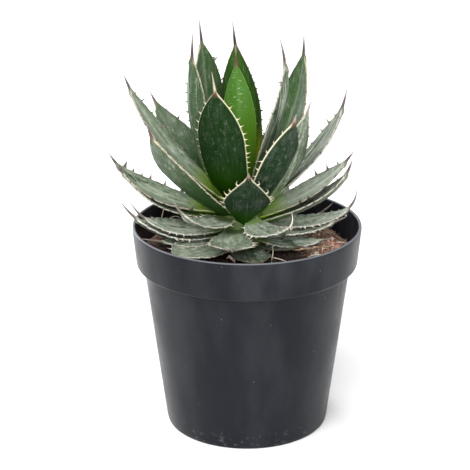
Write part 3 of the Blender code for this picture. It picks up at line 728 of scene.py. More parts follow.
# Teeth that stand out, one row each: share of the blade, margin (-1 or 1), length, bend towards
# the tip in radians and lean towards the face.
OWN_TEETH = {
    "leaf_heart": (
        (0.84, -1, 2.2, 0.4, 0.3), (0.79, -1, 2.6, 0.6, 0.3), (0.74, -1, 2.4, 0.3, 0.3),
        (0.70, -1, 2.6, 0.6, 0.3), (0.66, -1, 2.4, 0.4, 0.3), (0.62, -1, 2.8, 0.5, 0.3),
        (0.553, -1, 3.6, 0.9, 0.2), (0.49, -1, 3.0, 0.6, 0.3),
    ),
    "leaf_rear_left_tall": ((0.86, -1, 5.0, 0.3, 0.2), (0.875, -1, 4.0, -0.8, 0.2)),
    "leaf_right_tall": ((0.87, -1, 4.2, 0.3, 3.0), (0.855, -1, 3.0, -0.4, 3.0)),
    "leaf_front_tall": (
        (0.87, 1, 3.2, 0.5, 0.2), (0.78, 1, 3.4, 0.4, 0.2), (0.725, 1, 3.2, 0.3, 0.2),
        (0.665, 1, 3.2, 0.3, 0.2), (0.62, 1, 3.0, 0.2, 0.2), (0.57, 1, 3.2, 0.1, 0.2),
        (0.50, 1, 3.4, 0.6, 0.2), (0.465, 1, 2.6, 0.3, 0.2), (0.42, 1, 3.0, 0.6, 0.2),
        (0.37, 1, 2.4, 0.5, 0.2), (0.88, -1, 2.6, 0.4, 0.2), (0.79, -1, 3.2, 0.4, 0.2),
        (0.715, -1, 3.0, 0.2, 0.2), (0.64, -1, 3.2, 0.4, 0.2), (0.56, -1, 2.4, 0.3, 0.2),
    ),
    "leaf_left_tall": (
        (0.80, -1, 3.6, 0.3, -2.5), (0.74, -1, 4.2, 0.4, -2.5), (0.68, -1, 3.8, 0.2, -2.5),
        (0.61, -1, 4.4, 0.3, -2.5), (0.55, -1, 4.0, 0.3, -2.5), (0.48, -1, 4.2, 0.3, -2.5),
    ),
    "leaf_left_upper": (
        (0.87, -1, 4.6, -0.6, 2.0), (0.76, -1, 3.4, -0.3, 2.0), (0.62, 1, 3.2, 0.4, 1.0),
    ),
    "leaf_rear_left_upper": ((0.80, -1, 4.2, 0.5, 0.3), (0.90, -1, 2.6, 0.9, 0.3)),
    "leaf_front_right_upper": (
        (0.90, -1, 3.2, 1.9, 0.4), (0.81, -1, 3.4, 1.8, 0.4), (0.72, -1, 4.2, 1.6, 0.4),
        (0.63, -1, 3.6, -0.8, 0.4), (0.54, -1, 3.6, 1.5, 0.4), (0.46, -1, 3.0, 0.8, 0.4),
    ),
    "leaf_right_inner": ((0.76, 1, 4.2, 0.2, -1.5), (0.85, 1, 3.2, 0.3, -1.5), (0.66, 1, 3.4, 0.2, -1.5)),
    "leaf_right_upper": (
        (0.90, 1, 3.4, 0.5, 1.6), (0.82, 1, 5.4, 0.5, 1.6), (0.73, 1, 4.2, 0.3, 1.6),
        (0.60, 1, 3.4, 0.3, 1.6),
    ),
    "leaf_front_upper": (
        (0.75, -1, 5.2, 2.3, 0.3), (0.57, -1, 5.4, 2.2, 0.3), (0.47, -1, 5.2, 1.4, 0.3),
        (0.385, -1, 4.6, 0.2, 0.3), (0.30, -1, 4.4, 0.1, 0.4), (0.21, -1, 4.0, -0.2, 0.5),
        (0.79, 1, 5.2, 2.4, 0.3), (0.56, 1, 5.6, 2.4, 0.3), (0.45, 1, 4.2, 0.9, 0.3),
        (0.395, 1, 4.2, 0.2, 0.3), (0.33, 1, 4.4, 0.1, 0.4), (0.25, 1, 4.0, -0.3, 0.5),
    ),
    "leaf_left_middle": (
        (0.90, -1, 7.0, 0.4, 0.7), (0.915, -1, 5.4, -0.3, 0.7), (0.82, -1, 5.0, 0.4, 1.2),
        (0.73, -1, 4.2, 0.6, 1.2), (0.65, -1, 5.6, 0.2, 1.4), (0.51, -1, 5.0, 0.3, 1.4),
    ),
    "leaf_front_right_lower": (
        (0.86, -1, 4.4, 0.4, 1.0), (0.92, -1, 5.0, 0.2, 0.5), (0.97, -1, 4.6, -0.4, 0.5),
        (0.78, 1, 4.4, 0.3, 0.5), (0.88, 1, 5.0, 0.6, 0.3), (0.95, 1, 4.2, -0.5, 0.5),
    ),
    "leaf_front_lower": (
        (0.94, 1, 4.2, 0.3, 0.1), (0.87, 1, 5.0, -0.3, 0.1), (0.79, 1, 4.6, 0.2, 0.1),
        (0.70, 1, 4.8, -0.2, 0.1), (0.60, 1, 4.0, 0.3, 0.1), (0.89, -1, 5.0, 0.2, 0.1),
        (0.80, -1, 4.4, -0.4, 0.1),
    ),
    "leaf_left_lower": (
        (0.84, 1, 3.6, 0.3, -0.4), (0.75, 1, 4.6, -0.2, -0.4), (0.66, 1, 4.8, 0.4, -0.4),
        (0.57, 1, 4.4, -0.3, -0.4), (0.47, 1, 4.6, 0.3, -0.4), (0.37, 1, 4.0, 0.2, -0.4),
    ),
    "leaf_front_left_ground": (
        (0.86, 1, 4.0, 0.2, 0.1), (0.78, 1, 4.8, 0.3, 0.1), (0.68, 1, 4.6, -0.3, 0.1),
        (0.58, 1, 4.2, 0.2, 0.1), (0.84, -1, 4.0, 0.3, 0.1),
    ),
    "leaf_right_middle": (
        (0.65, 1, 5.8, 0.2, 1.2), (0.78, 1, 5.8, 0.3, 1.2), (0.90, 1, 4.4, 0.3, 1.2),
        (0.49, 1, 2.6, 0.3, 0.6), (0.41, 1, 2.4, 0.3, 0.6),
    ),
}


def unit(vectors):
    """Vectors brought to a length of one."""
    return vectors / np.linalg.norm(vectors, axis=-1, keepdims=True)


def midrib(leaf, share):
    """Points and headings of the midrib: a cubic curve from the crown to the spine's tip.

    Its handles are a share of the straight distance long, at the root's and the tip's slopes,
    and the second one keeps back part of the tip's sway.
    """
    turn = math.radians(leaf["azimuth"])
    out = np.array((math.cos(turn), math.sin(turn), 0.0))
    side = np.array((-math.sin(turn), math.cos(turn), 0.0))
    up = np.array((0.0, 0.0, 1.0))
    drop = math.radians(leaf["root"])
    axis = np.array((STEM_X, 0.0, POT_HEIGHT))
    start = axis + CROWN_RADIUS * math.sin(drop) * out
    start = start + (CROWN_WAIST + CROWN_HEIGHT * math.cos(drop)) * up
    end = axis + leaf["reach"] * out + leaf["sway"] * side + leaf["rise"] * up
    handle = HANDLE_SHARE * np.linalg.norm(end - start)
    low, high = math.radians(leaf["root_pitch"]), math.radians(leaf["tip_pitch"])
    first = start + handle * (math.cos(low) * out + math.sin(low) * up)
    second = end - handle * (math.cos(high) * out + math.sin(high) * up)
    second = second - SWAY_HELD * leaf["sway"] * side
    t = share[:, None]
    r = 1.0 - t
    points = r**3 * start + 3 * r * r * t * first + 3 * r * t * t * second + t**3 * end
    heading = r * r * (first - start) + 2 * r * t * (second - first) + t * t * (end - second)
    return points, unit(heading), side


def lengths(leaf):
    """The midrib's length to each of many shares of its curve, and where the blade ends."""
    fine = np.linspace(0.0, 1.0, 600)
    line = midrib(leaf, fine)[0]
    arc = np.concatenate(((0.0,), np.cumsum(np.linalg.norm(np.diff(line, axis=0), axis=1))))
    return fine, arc, arc[-1] - SPINE_LENGTH * leaf["spine"]


def stations(leaf, distances):
    """Centre, heading, across and face of the blade at distances along it."""
    fine, arc, _ = lengths(leaf)
    centre, heading, side = midrib(leaf, np.interp(distances, arc, fine))
    centre = centre + np.minimum(distances, 0.0)[:, None] * heading
    across = unit(side - (heading @ side)[:, None] * heading)
    face = np.cross(heading, across)
    roll = np.radians(leaf["roll"]) * clamped(2.0 * distances / arc[-1])[:, None]
    turned_across = np.cos(roll) * across + np.sin(roll) * face
    return centre, heading, turned_across, np.cos(roll) * face - np.sin(roll) * across


def half_width(leaf, distances):
    """Half the width: a swelling root, then a pointed arch that runs over into the spine."""
    _, arc, blade = lengths(leaf)
    along = clamped(distances / blade)
    widest = leaf["widest"]
    swelling = leaf["base"] + (1.0 - leaf["base"]) * np.sin(0.5 * np.pi * clamped(along / widest))
    arch = 1.0 - clamped((along - widest) / (1.0 - widest)) ** leaf["taper"]
    half = 0.5 * leaf["width"] * np.where(along < widest, swelling, arch)
    half = half * (1.0 - 0.2 * clamped(-distances / ROOT_BURIED))
    past = np.clip((distances - blade) / (arc[-1] - blade), -1.5, 1)
    spine = leaf["stout"] * np.clip(1.0 - past, 0, 1.8) ** 0.9 + 0.13
    return (half**3 + spine**3) ** (1 / 3)


def blade_points(leaf, chance):
    """The lofted blade and spine.

    A ring has an upper and a lower line from margin to margin. The upper line is a channel
    that rises with the 1.7th power of the share of the half width, with shallow flutes. The
    lower line falls to a rounded keel. Both swell by a bead at the horny margin, and over
    the spine they close to an ellipse.
    """
    _, arc, blade = lengths(leaf)
    total = arc[-1]
    eased = np.linspace(0, 1, BLADE_RINGS)
    on_blade = -ROOT_BURIED + (blade + ROOT_BURIED) * (0.75 * eased + 0.25 * np.sin(0.5 * np.pi * eased))
    on_spine = blade + (total - blade) * np.linspace(0, 1, SPINE_RINGS + 1)[1:-1]
    distances = np.concatenate((on_blade, on_spine))
    centre, _, across, face = stations(leaf, distances)
    along = clamped(distances / blade)[:, None]
    phase = chance.uniform(0, math.tau, 2)
    waves = np.sin(distances / 1.25 + phase[0]) + 0.7 * np.sin(distances / 0.61 + phase[1])
    waves = leaf["Ragged"] * waves[:, None] * clamped(5.0 * (1.0 - along)) * clamped(8.0 * along)
    half = half_width(leaf, distances)[:, None] + 0.5 * waves
    past = clamped((distances - blade) / (total - blade))[:, None]
    needle = clamped(1.0 - (half - NEEDLE_HALF) / NEEDLE_RUN) * (along > 0.5)
    shrink = np.clip(half / SLENDER_HALF, 0.25, 1.0)
    edge = 1.0 - np.array(MARGIN_STEPS)[None, :] * shrink / half
    inner = np.linspace(0, 1, 8)[None, :-1] * edge[:, :1]
    x = np.concatenate((inner, edge), axis=1)
    x = np.concatenate((x[:, ::-1], -x[:, 1:]), axis=1)
    depth = (1.0 - np.abs(x)) * half
    lift = leaf["channel"] * half * (1.0 - needle)
    bead = np.exp(-(((depth - 0.4 * shrink) / (0.4 * shrink)) ** 2)) * MARGIN_BEAD * shrink
    round_off = MARGIN_ROUNDING * clamped(1.0 - depth / (0.35 * shrink)) * shrink
    flute_count = 2.5 + chance.uniform(0, 1.5)
    sway = chance.uniform(0, math.tau)
    flutes = np.cos(x * flute_count * math.pi + sway + 1.2 * np.sin(along * 4.0)) * (1 - np.abs(x) ** 3)
    flutes = flutes * clamped(along * 4) * clamped((1 - along) * 5)
    keel = KEEL_THICKNESS - KEEL_TAPER * along
    keel = keel * (1.0 - needle) + needle * half
    margin = MARGIN_THICKNESS * (1.0 - needle) + needle * 0.25 * half
    rise = np.abs(x) ** KEEL_POWER
    bulge = needle * 0.75 * half * np.sqrt(clamped(1 - x * x))
    lift = lift + waves * np.abs(x) ** 4
    upper = lift * np.abs(x) ** CHANNEL_POWER + bead - round_off + bulge + leaf["Flute"] * flutes
    lower = (lift - margin) * rise - keel * (1.0 - rise) - bead + round_off - 0.5 * leaf["Flute"] * flutes
    lower = lower - needle * 0.25 * half * np.sqrt(clamped(1 - x * x))
    flat = np.concatenate((x, x[:, ::-1]), axis=1)
    height = np.concatenate((upper, lower[:, ::-1]), axis=1)
    points = centre[:, None] + (flat * half)[..., None] * across[:, None] + height[..., None] * face[:, None]
    wide = flat * half
    depth = (1.0 - np.abs(flat)) * half
    under = np.concatenate((np.zeros_like(x), np.ones_like(x)), axis=1)
    horn = clamped(1.6 - depth / ((1.0 - 0.5 * under) * leaf["Band"] * shrink))
    horn = horn * clamped(along * 12.0)
    horn = np.maximum(horn, clamped((distances[:, None] - blade + 0.5) / 2.0))
    tone = clamped((distances[:, None] - blade + 6.0) / 6.5) + clamped(past * 1.7 - 0.5)
    tone = tone * leaf["spine_tone"]
    tags = {
        "across": flat,
        "along": np.broadcast_to(along, flat.shape),
        "under": under,
        "horn": horn,
        "tone": np.broadcast_to(tone, flat.shape),
        "grain": np.stack((wide, np.broadcast_to(distances[:, None], flat.shape), under * 40.0), axis=-1),
    }
    return points, tags, distances


def tooth_rows(leaf, blade, chance):
    """Share, margin, length, bend and lean of each tooth: two rows by chance, then its own."""
    count = int(0.82 * blade * leaf["toothed"] / leaf["pitch"])
    share = np.tile(np.linspace(0.10, 0.94 * leaf["toothed"], count), 2)
    share = share + chance.uniform(-0.3, 0.3, share.size) * leaf["pitch"] / blade
    sign = np.repeat((-1.0, 1.0), count)
    size = leaf["tooth"] * (0.55 + 0.45 * np.sin(np.pi * clamped(share * 1.1)))
    size = size * chance.uniform(0.45, 1.5, size.size)
    bend = chance.choice((-0.9, 0.5, 1.1, 1.6), size.size) * chance.uniform(0.6, 1.2, size.size)
    lean = leaf["Lean"] + chance.uniform(-0.5, 0.5, size.size)
    by_chance = np.stack((share, sign, size, bend, lean), axis=-1)
    own = np.array(leaf["own_teeth"], float).reshape(-1, 5)
    apart = np.abs(share[:, None] - own[:, 0]) * blade + 99.0 * (sign[:, None] != own[:, 1])
    by_chance = by_chance[np.all(apart > 0.7 * leaf["pitch"], axis=1)]
    return np.concatenate((by_chance, own))


def tooth_points(leaf, chance):
    """The marginal teeth: flattened cones on the margin, each bent towards tip or root.

    A tooth's path leaves the margin square to it and is an arc of a circle: after the share
    t of its length it has turned by t times its bend. Its section is an ellipse, long on the
    margin, that shrinks fast and then slowly.
    """
    blade = lengths(leaf)[2]
    share, sign, size, bend, lean = tooth_rows(leaf, blade, chance).T
    base = share * blade
    centre, heading, across, face = stations(leaf, base)
    half = half_width(leaf, base)
    slope = (half_width(leaf, base + 0.5) - half_width(leaf, base - 0.5))[:, None]
    edge = centre + (sign * half)[:, None] * across + (leaf["channel"] * half - 0.5)[:, None] * face
    outward = unit(sign[:, None] * across - slope * heading + lean[:, None] * face)
    tangent = unit(heading + slope * sign[:, None] * across)
    curl = chance.uniform(-0.1, 0.45, size.size)
    t = np.linspace(0, 1, TOOTH_RINGS + 1)[None, :, None]
    bend = np.where(np.abs(bend) < 0.05, 0.05, bend)[:, None, None]
    path = edge[:, None] - 0.5 * outward[:, None]
    path = path + (size[:, None, None] + 0.5) * np.sin(bend * t) / bend * outward[:, None]
    path = path + size[:, None, None] * (1 - np.cos(bend * t)) / bend * tangent[:, None]
    path = path + (size * curl)[:, None, None] * t * t * face[:, None]
    left = 1 - t[..., 0]
    long_half = size[:, None] * (TOOTH_FOOT * left**3.0 + TOOTH_SHAFT * left) + 0.06
    thick_half = TOOTH_THICKNESS * left + 0.08
    turn = full_turn(TOOTH_SIDES)[None, None, :, None]
    way = np.cos(bend * t) * tangent[:, None] - np.sin(bend * t) * outward[:, None]
    rings = path[:, :-1, None] + long_half[:, :-1, None, None] * np.cos(turn) * way[:, :-1, None]
    rings = rings + thick_half[:, :-1, None, None] * np.sin(turn) * face[:, None, None]
    each = np.concatenate((rings.reshape(len(base), -1, 3), path[:, :1], path[:, -1:]), axis=1)
    size_of_one = each.shape[1]
    quads = ring_quads(TOOTH_RINGS, TOOTH_SIDES)
    ends = cone_ends(TOOTH_RINGS, TOOTH_SIDES, size_of_one - 2, size_of_one - 1)
    quads = many(quads, size_of_one, len(base)).reshape(len(base), -1, 4)
    ends = many(ends, size_of_one, len(base)).reshape(len(base), -1, 3)
    flip = sign < 0
    quads[flip] = quads[flip][..., ::-1]
    ends[flip] = ends[flip][..., ::-1]
    tip = np.concatenate((np.repeat(t[0, :-1, 0], TOOTH_SIDES), (0.0, 1.0)))
    tags = {
        "across": np.repeat(sign, size_of_one),
        "along": np.repeat(share, size_of_one),
        "under": np.zeros(len(base) * size_of_one),
        "horn": np.ones(len(base) * size_of_one),
        "tone": leaf["Tooth tone"] + (1.0 - leaf["Tooth tone"]) * np.tile(tip, len(base)),
        "grain": np.zeros((len(base) * size_of_one, 3)),
    }
    return each.reshape(-1, 3), quads.reshape(-1, 4), ends.reshape(-1, 3), tags


# The colours and amounts that the skin shader takes, then the words that shape the leaf: height
# of the bump in millimetres, depth of the flutes, raggedness of the margin, lean of the teeth
# towards the face, width of the horny band, how near a tooth's foot is to the colour of its tip,
# and the shine.
COLOUR_WORDS = ("Face", "Back", "Root", "Horn", "Horn tip")
AMOUNT_WORDS = (
    "Root reach", "Bloom", "Streak", "Midline", "Print", "Speckle", "Mottle", "Shade", "Unbroken", "Apex",
)
SHAPE_WORDS = ("Relief", "Flute", "Ragged", "Lean", "Band", "Tooth tone", "Gloss")

# The twelve finishes of the skin, each with its colours, its amounts and its shape: the bright
# bud, the heart leaf behind it, tall leaves, one that shows its dark back, four odd ones, grown
# leaves, old leaves, worn ones and a dark one that paints shade on the ones in the others' shade.
FINISHES = {
    "bud": (
        (0.053, 0.147, 0.028), (0.062, 0.172, 0.020), (0.062, 0.150, 0.004),
        (0.22, 0.38, 0.08), (0.10, 0.055, 0.03),
        0.85, 0.0, 0.12, 0.1, 0.7, 0.0, 0.0, 0.0, 1.0, 1.0,
        0.12, 0.05, 0.0, 0.5, 0.38, 0.0, 0.2,
    ),
    "heart": (
        (0.025, 0.09, 0.005), (0.025, 0.09, 0.005), (0.22, 0.32, 0.008),
        (0.06, 0.05, 0.018), (0.03, 0.018, 0.012),
        0.50, 0.0, 0.25, 0.1, 0.1, 0.0, 0.0, 0.7, 0.6, 0.8,
        0.12, 0.05, 0.0, 0.5, 0.55, 0.5, 0.2,
    ),
    "tall": (
        (0.042, 0.093, 0.027), (0.031, 0.066, 0.021), (0.14, 0.27, 0.02),
        (0.42, 0.40, 0.24), (0.07, 0.05, 0.05),
        0.36, 0.04, 0.4, 0.25, 0.15, 0.12, 0.15, 0.4, 0.5, 0.4,
        0.14, 0.10, 0.1, 0.5, 0.38, 0.7, 0.2,
    ),
    "dark": (
        (0.17, 0.22, 0.14), (0.0060, 0.0245, 0.0040), (0.013, 0.05, 0.001),
        (0.74, 0.70, 0.46), (0.42, 0.34, 0.26),
        0.50, 0.02, 0.05, 0.1, 0.05, 0.06, 0.06, 0.75, 0.9, 0.8,
        0.12, 0.03, 0.0, 0.5, 0.42, 0.1, 0.03,
    ),
    "blotched": (
        (0.12, 0.16, 0.10), (0.0095, 0.028, 0.0105), (0.012, 0.05, 0.003),
        (0.74, 0.70, 0.50), (0.33, 0.25, 0.20),
        0.30, 0.06, 0.1, 0.05, 0.0, 0.16, 0.10, 0.5, 0.9, 0.8,
        0.14, 0.03, 0.0, 0.5, 0.42, 0.1, 0.05,
    ),
    "mottled": (
        (0.095, 0.135, 0.08), (0.058, 0.09, 0.045), (0.010, 0.045, 0.002),
        (0.64, 0.58, 0.42), (0.12, 0.08, 0.07),
        0.80, 0.12, 0.3, 0.2, 0.0, 0.35, 0.25, 0.3, 0.2, 0.6,
        0.16, 0.05, 0.12, 0.5, 0.38, 0.3, 0.2,
    ),
    "speckled": (
        (0.16, 0.20, 0.11), (0.09, 0.13, 0.07), (0.10, 0.17, 0.05),
        (0.62, 0.56, 0.44), (0.30, 0.26, 0.22),
        0.40, 0.2, 0.8, 0.3, 0.0, 0.9, 0.5, 0.1, 0.7, 0.2,
        0.2, 0.1, 0.1, 0.5, 0.38, 0.7, 0.2,
    ),
    "striped": (
        (0.060, 0.082, 0.052), (0.10, 0.13, 0.09), (0.10, 0.20, 0.02),
        (0.55, 0.51, 0.44), (0.10, 0.075, 0.078),
        0.42, 0.12, 4.0, 0.0, 0.0, 0.3, 0.3, 0.3, 0.5, 0.2,
        0.3, 0.22, 0.1, 0.5, 0.34, 0.6, 0.2,
    ),
    "grown": (
        (0.175, 0.235, 0.142), (0.075, 0.11, 0.058), (0.21, 0.35, 0.035),
        (0.48, 0.43, 0.33), (0.09, 0.065, 0.066),
        0.34, 0.45, 1.0, 0.8, 0.05, 0.2, 0.4, 0.45, 0.3, 0.3,
        0.2, 0.14, 0.15, 0.5, 0.36, 0.65, 0.2,
    ),
    "old": (
        (0.34, 0.40, 0.30), (0.07, 0.10, 0.055), (0.16, 0.25, 0.08),
        (0.80, 0.77, 0.68), (0.16, 0.13, 0.11),
        0.12, 0.75, 0.7, 0.3, 0.0, 0.4, 0.75, 0.3, 0.25, 0.3,
        0.5, 0.12, 0.22, -0.5, 0.28, 0.15, 0.25,
    ),
    "worn": (
        (0.19, 0.235, 0.16), (0.06, 0.085, 0.05), (0.06, 0.09, 0.03),
        (0.62, 0.60, 0.50), (0.16, 0.13, 0.11),
        0.25, 0.4, 0.6, 0.2, 0.0, 0.4, 0.5, 0.35, 0.25, 0.3,
        0.45, 0.12, 0.22, -0.3, 0.28, 0.15, 0.2,
    ),
    # Painted shade: a dark finish for the low leaves that lie in the shade of others.
    "shaded": (
        (0.055, 0.08, 0.045), (0.05, 0.07, 0.04), (0.03, 0.05, 0.015),
        (0.16, 0.14, 0.10), (0.10, 0.07, 0.05),
        0.30, 0.25, 0.5, 0.2, 0.0, 0.4, 0.35, 0.4, 0.4, 0.3,
        0.4, 0.12, 0.22, 0.0, 0.28, 0.3, 0.1,
    ),
}
words = COLOUR_WORDS + AMOUNT_WORDS + SHAPE_WORDS
finishes = {name: dict(zip(words, values)) for name, values in FINISHES.items()}


def skin_group():
    """Agave skin from the leaf's own tags.

    Inputs are the colours of face, back, root, horn and horn's tip, how far up the root's
    colour reaches, and the amounts of bloom, streaks, pale midline, bud print, speckle, mottle,
    painted shade along the margin, unbroken horn and brown apex. The layers are painted over the
    colour one after another, and the horn goes over them all.
    """
    kinds = {word: "Color" for word in COLOUR_WORDS} | {word: "Float" for word in AMOUNT_WORDS}
    group, given, out = new_group(
        "agave_skin", kinds, {"Colour": "Color", "Roughness": "Float", "Height": "Float"}
    )
    given = given.outputs
    tags = {
        word: add_node(group, "ShaderNodeAttribute", attribute_name=word).outputs
        for word in ("grain", "across", "along", "under", "horn", "tone")
    }
    across, along, under, horn, tone = (tags[word]["Fac"] for word in list(tags)[1:])

    def pattern(scale, detail, roughness=0.5):
        place = stretched(group, tags["grain"]["Vector"], scale)
        return noise(group, place, 1.0, detail, roughness)

    from_middle = calculate(group, "ABSOLUTE", across)
    above = calculate(group, "SUBTRACT", 1.0, under)
    fibre = pattern((0.9, 0.035, 1.0), 4.0, 0.6)
    patches = pattern((0.16, 0.07, 1.0), 5.0, 0.62)
    worn = pattern((0.30, 0.15, 1.0), 5.0, 0.66)
    dots = pattern((1.3, 0.8, 1.0), 2.0)
    dashes = pattern((0.22, 1.1, 1.0), 2.0)
    inside = between(group, from_middle, 0.8, 0.45)
    near_tip = between(group, along, 0.55, 0.78)
    root_full = product(group, given["Root reach"], 0.35)
    layers = (
        (fibre, 0.5, 0.3, (given["Streak"],), (0.02, 0.05, 0.015)),
        (fibre, 0.5, 0.72, (given["Streak"],), (0.34, 0.40, 0.30)),
        (from_middle, 0.16, 0.0, (above, given["Midline"]), (0.38, 0.45, 0.32)),
        (patches, 0.42, 0.66, (given["Bloom"],), (0.56, 0.60, 0.53)),
        (worn, 0.50, 0.36, (given["Mottle"],), (0.03, 0.055, 0.025)),
        (worn, 0.54, 0.68, (given["Mottle"],), (0.72, 0.74, 0.68)),
        (dots, 0.60, 0.72, (given["Speckle"],), (0.46, 0.52, 0.42)),
        (dashes, 0.60, 0.68, (inside, near_tip, given["Print"]), (0.45, 0.60, 0.34)),
        # Painted shade that darkens the blade towards its margins.
        (from_middle, 0.60, 1.0, (given["Shade"],), (0.008, 0.022, 0.006)),
        (along, given["Root reach"], root_full, (), given["Root"]),
        (along, 0.95, 1.0, (given["Apex"],), (0.13, 0.06, 0.045)),
    )
    colour = blended(group, under, given["Face"], given["Back"])
    for value, low, high, amounts, paint in layers:
        colour = blended(group, product(group, between(group, value, low, high), *amounts), colour, paint)
    bony = blended(group, between(group, tone, 0.0, 1.0), given["Horn"], given["Horn tip"])
    bony = blended(group, between(group, tone, 1.0, 2.0, 0.0, 0.85), bony, (0.29, 0.26, 0.26))
    stains = between(group, pattern((1.2, 0.5, 1.0), 3.0), 0.5, 0.75, 0.0, 0.2)
    bony = blended(group, stains, bony, (0.16, 0.10, 0.07))
    broken = calculate(group, "SUBTRACT", 1.0, given["Unbroken"])
    gaps = product(group, between(group, pattern((0.4, 0.35, 1.0), 3.0), 0.52, 0.44), broken)
    gaps = product(group, gaps, between(group, tone, 0.2, 0.0))
    shown = product(group, horn, calculate(group, "SUBTRACT", 1.0, gaps))
    rough = between(group, patches, 0.35, 0.65, 0.36, 0.62)
    ridges = calculate(group, "ADD", fibre, worn)
    feed(group, out, {"Colour": blended(group, shown, colour, bony), "Roughness": rough, "Height": ridges})
    return group


def leaf_material(name, group, finish):
    """One finish of the leaf skin: waxy and satin, with raised fibres."""
    material, tree, shader, _ = new_material(name)
    inputs = {word: opaque(finish[word]) for word in COLOUR_WORDS + AMOUNT_WORDS}
    skin = add_node(tree, "ShaderNodeGroup", inputs, node_tree=group)
    look = {"Base Color": skin.outputs["Colour"], "Roughness": skin.outputs["Roughness"]}
    feed(tree, shader, look | {"Specular IOR Level": finish["Gloss"]})
    bumpy(tree, shader, skin.outputs["Height"], finish["Relief"])
    return material


def leaf_values(name):
    """Everything that the tables say of one leaf, by name."""
    leaf = dict(zip(COLUMNS, LEAVES[name])) | COMMON
    leaf |= {word: finishes[leaf["finish"]][word] for word in SHAPE_WORDS}
    return leaf | SPECIAL.get(name, {}) | {"own_teeth": OWN_TEETH.get(name, ())}


def build_leaf(name, number, skins):
    """A blade with its spine, closed at both ends, and its teeth, all in one mesh."""
    leaf = leaf_values(name)
    chance = np.random.default_rng(100 + number)
    points, tags, distances = blade_points(leaf, chance)
    rings, around = points.shape[:2]
    ends = np.array((distances[0], lengths(leaf)[1][-1]))
    poles = stations(leaf, ends)[0]
    last = rings * around
    teeth, tooth_quads, tooth_ends, tooth_tags = tooth_points(leaf, chance)
    points = np.concatenate((points.reshape(-1, 3), poles, teeth))
    quads = np.concatenate((ring_quads(rings, around), tooth_quads + last + 2))
    triangles = np.concatenate((cone_ends(rings, around, last, last + 1), tooth_ends + last + 2))
    pole_tags = {
        "across": (0.0, 0.0), "along": (0.0, 1.0), "under": (0.0, 0.0), "horn": (0.0, 1.0),
        "tone": (0.0, 2.0), "grain": ((0.0, 0.0, 0.0), (0.0, ends[1], 0.0)),
    }
    joined = {}
    for tag, values in tags.items():
        values = values.reshape(-1, *values.shape[2:])
        joined[tag] = np.concatenate((values, np.array(pole_tags[tag]), tooth_tags[tag]))
    joined["grain"] = joined["grain"] + np.array((number * 31.0, number * 17.0, 0.0))
    return piece_from(name + "_blade", points, quads, triangles, skins[leaf["finish"]], joined)


skin = skin_group()
skins = {name: leaf_material("agave_" + name, skin, finish) for name, finish in finishes.items()}
for number, name in enumerate(LEAVES):
    blade = build_leaf(name, number, skins)
    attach(blade, "root")
    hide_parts(name)


# The bits that lie about: pale rootlets, a withered leaf, a scrap of dry leaf skin and white
# grit from the potting mix. They fell on the soil or stuck to the pot, and nothing holds them.
ROOTLETS = (
    ((18.5, -27.0, -8.5), (20.0, -33.0, -12.0), (17.0, -38.0, -14.0), (18.0, -44.0, -14.6)),
    ((15.0, -36.0, -12.5), (19.0, -39.0, -13.0), (24.0, -38.0, -13.4), (29.0, -42.0, -14.8)),
    ((66.0, -6.0, -13.0), (70.0, -9.0, -12.0), (73.0, -6.0, -12.5), (75.0, -1.0, -16.0)),
    ((-66.0, 42.0, -15.0), (-66.0, 44.0, -9.0), (-63.0, 46.0, -5.0), (-64.0, 49.0, 0.0)),
    ((-62.0, 45.0, -14.5), (-57.0, 49.0, -11.0), (-54.0, 52.0, -12.0), (-50.0, 50.0, -15.0)),
    ((44.0, -34.0, -14.0), (50.0, -31.0, -12.2), (56.0, -33.0, -12.6), (61.0, -29.0, -15.0)),
)
GRIT = (
    (75.3, 31.8, -5.2, 0.9), (62.0, -22.0, -14.8, 0.6), (-60.0, 27.0, -14.0, 0.8), (38.0, -46.0, -15.0, 0.6),
)
WITHERED_WAY = ((33.0, -24.0, -12.5), (42.0, -27.0, -11.5), (52.0, -24.0, -11.0), (63.0, -17.0, -12.0))
SCRAP_WAY = ((-14.5, -41.0, -12.0), (-12.0, -42.0, -10.5), (-11.0, -44.0, -13.0), (-8.5, -44.5, -14.0))
STRIP_SIDES = 16
STRIP_THICKNESS = 0.44
RIM_LEVEL = np.array((0.0, 0.0, POT_HEIGHT))


def dry_material(name, dark, light):
    """Matt dry plant matter in two colours that change along it."""
    material, tree, shader, place = new_material(name)
    tone = between(tree, noise(tree, place, 500.0, 4.0, 0.6), 0.38, 0.62)
    feed(tree, shader, {"Base Color": blended(tree, tone, dark, light), "Roughness": 0.8})
    bumpy(tree, shader, tone, 0.2)
    return material


def bezier(corners, share):
    """Points of the cubic curves that each row of four corners sets, at shares of their length."""
    corners = np.array(corners, float)
    t = share[None, :, None]
    first, second, third, fourth = (corners[:, None, k] for k in range(4))
    return (1 - t) ** 3 * first + 3 * t * (1 - t) ** 2 * second + 3 * t * t * (1 - t) * third + t**3 * fourth


def build_rootlets(material):
    """Thin tubes along cubic curves, thickest at the middle."""
    share = np.linspace(0, 1, 14)
    paths = bezier(ROOTLETS, share) + RIM_LEVEL
    radii = np.broadcast_to(0.22 + 0.16 * np.sin(np.pi * share), paths.shape[:2])
    return strands_piece("pale_rootlets", paths, radii, np.ones(len(ROOTLETS)), 6, material)


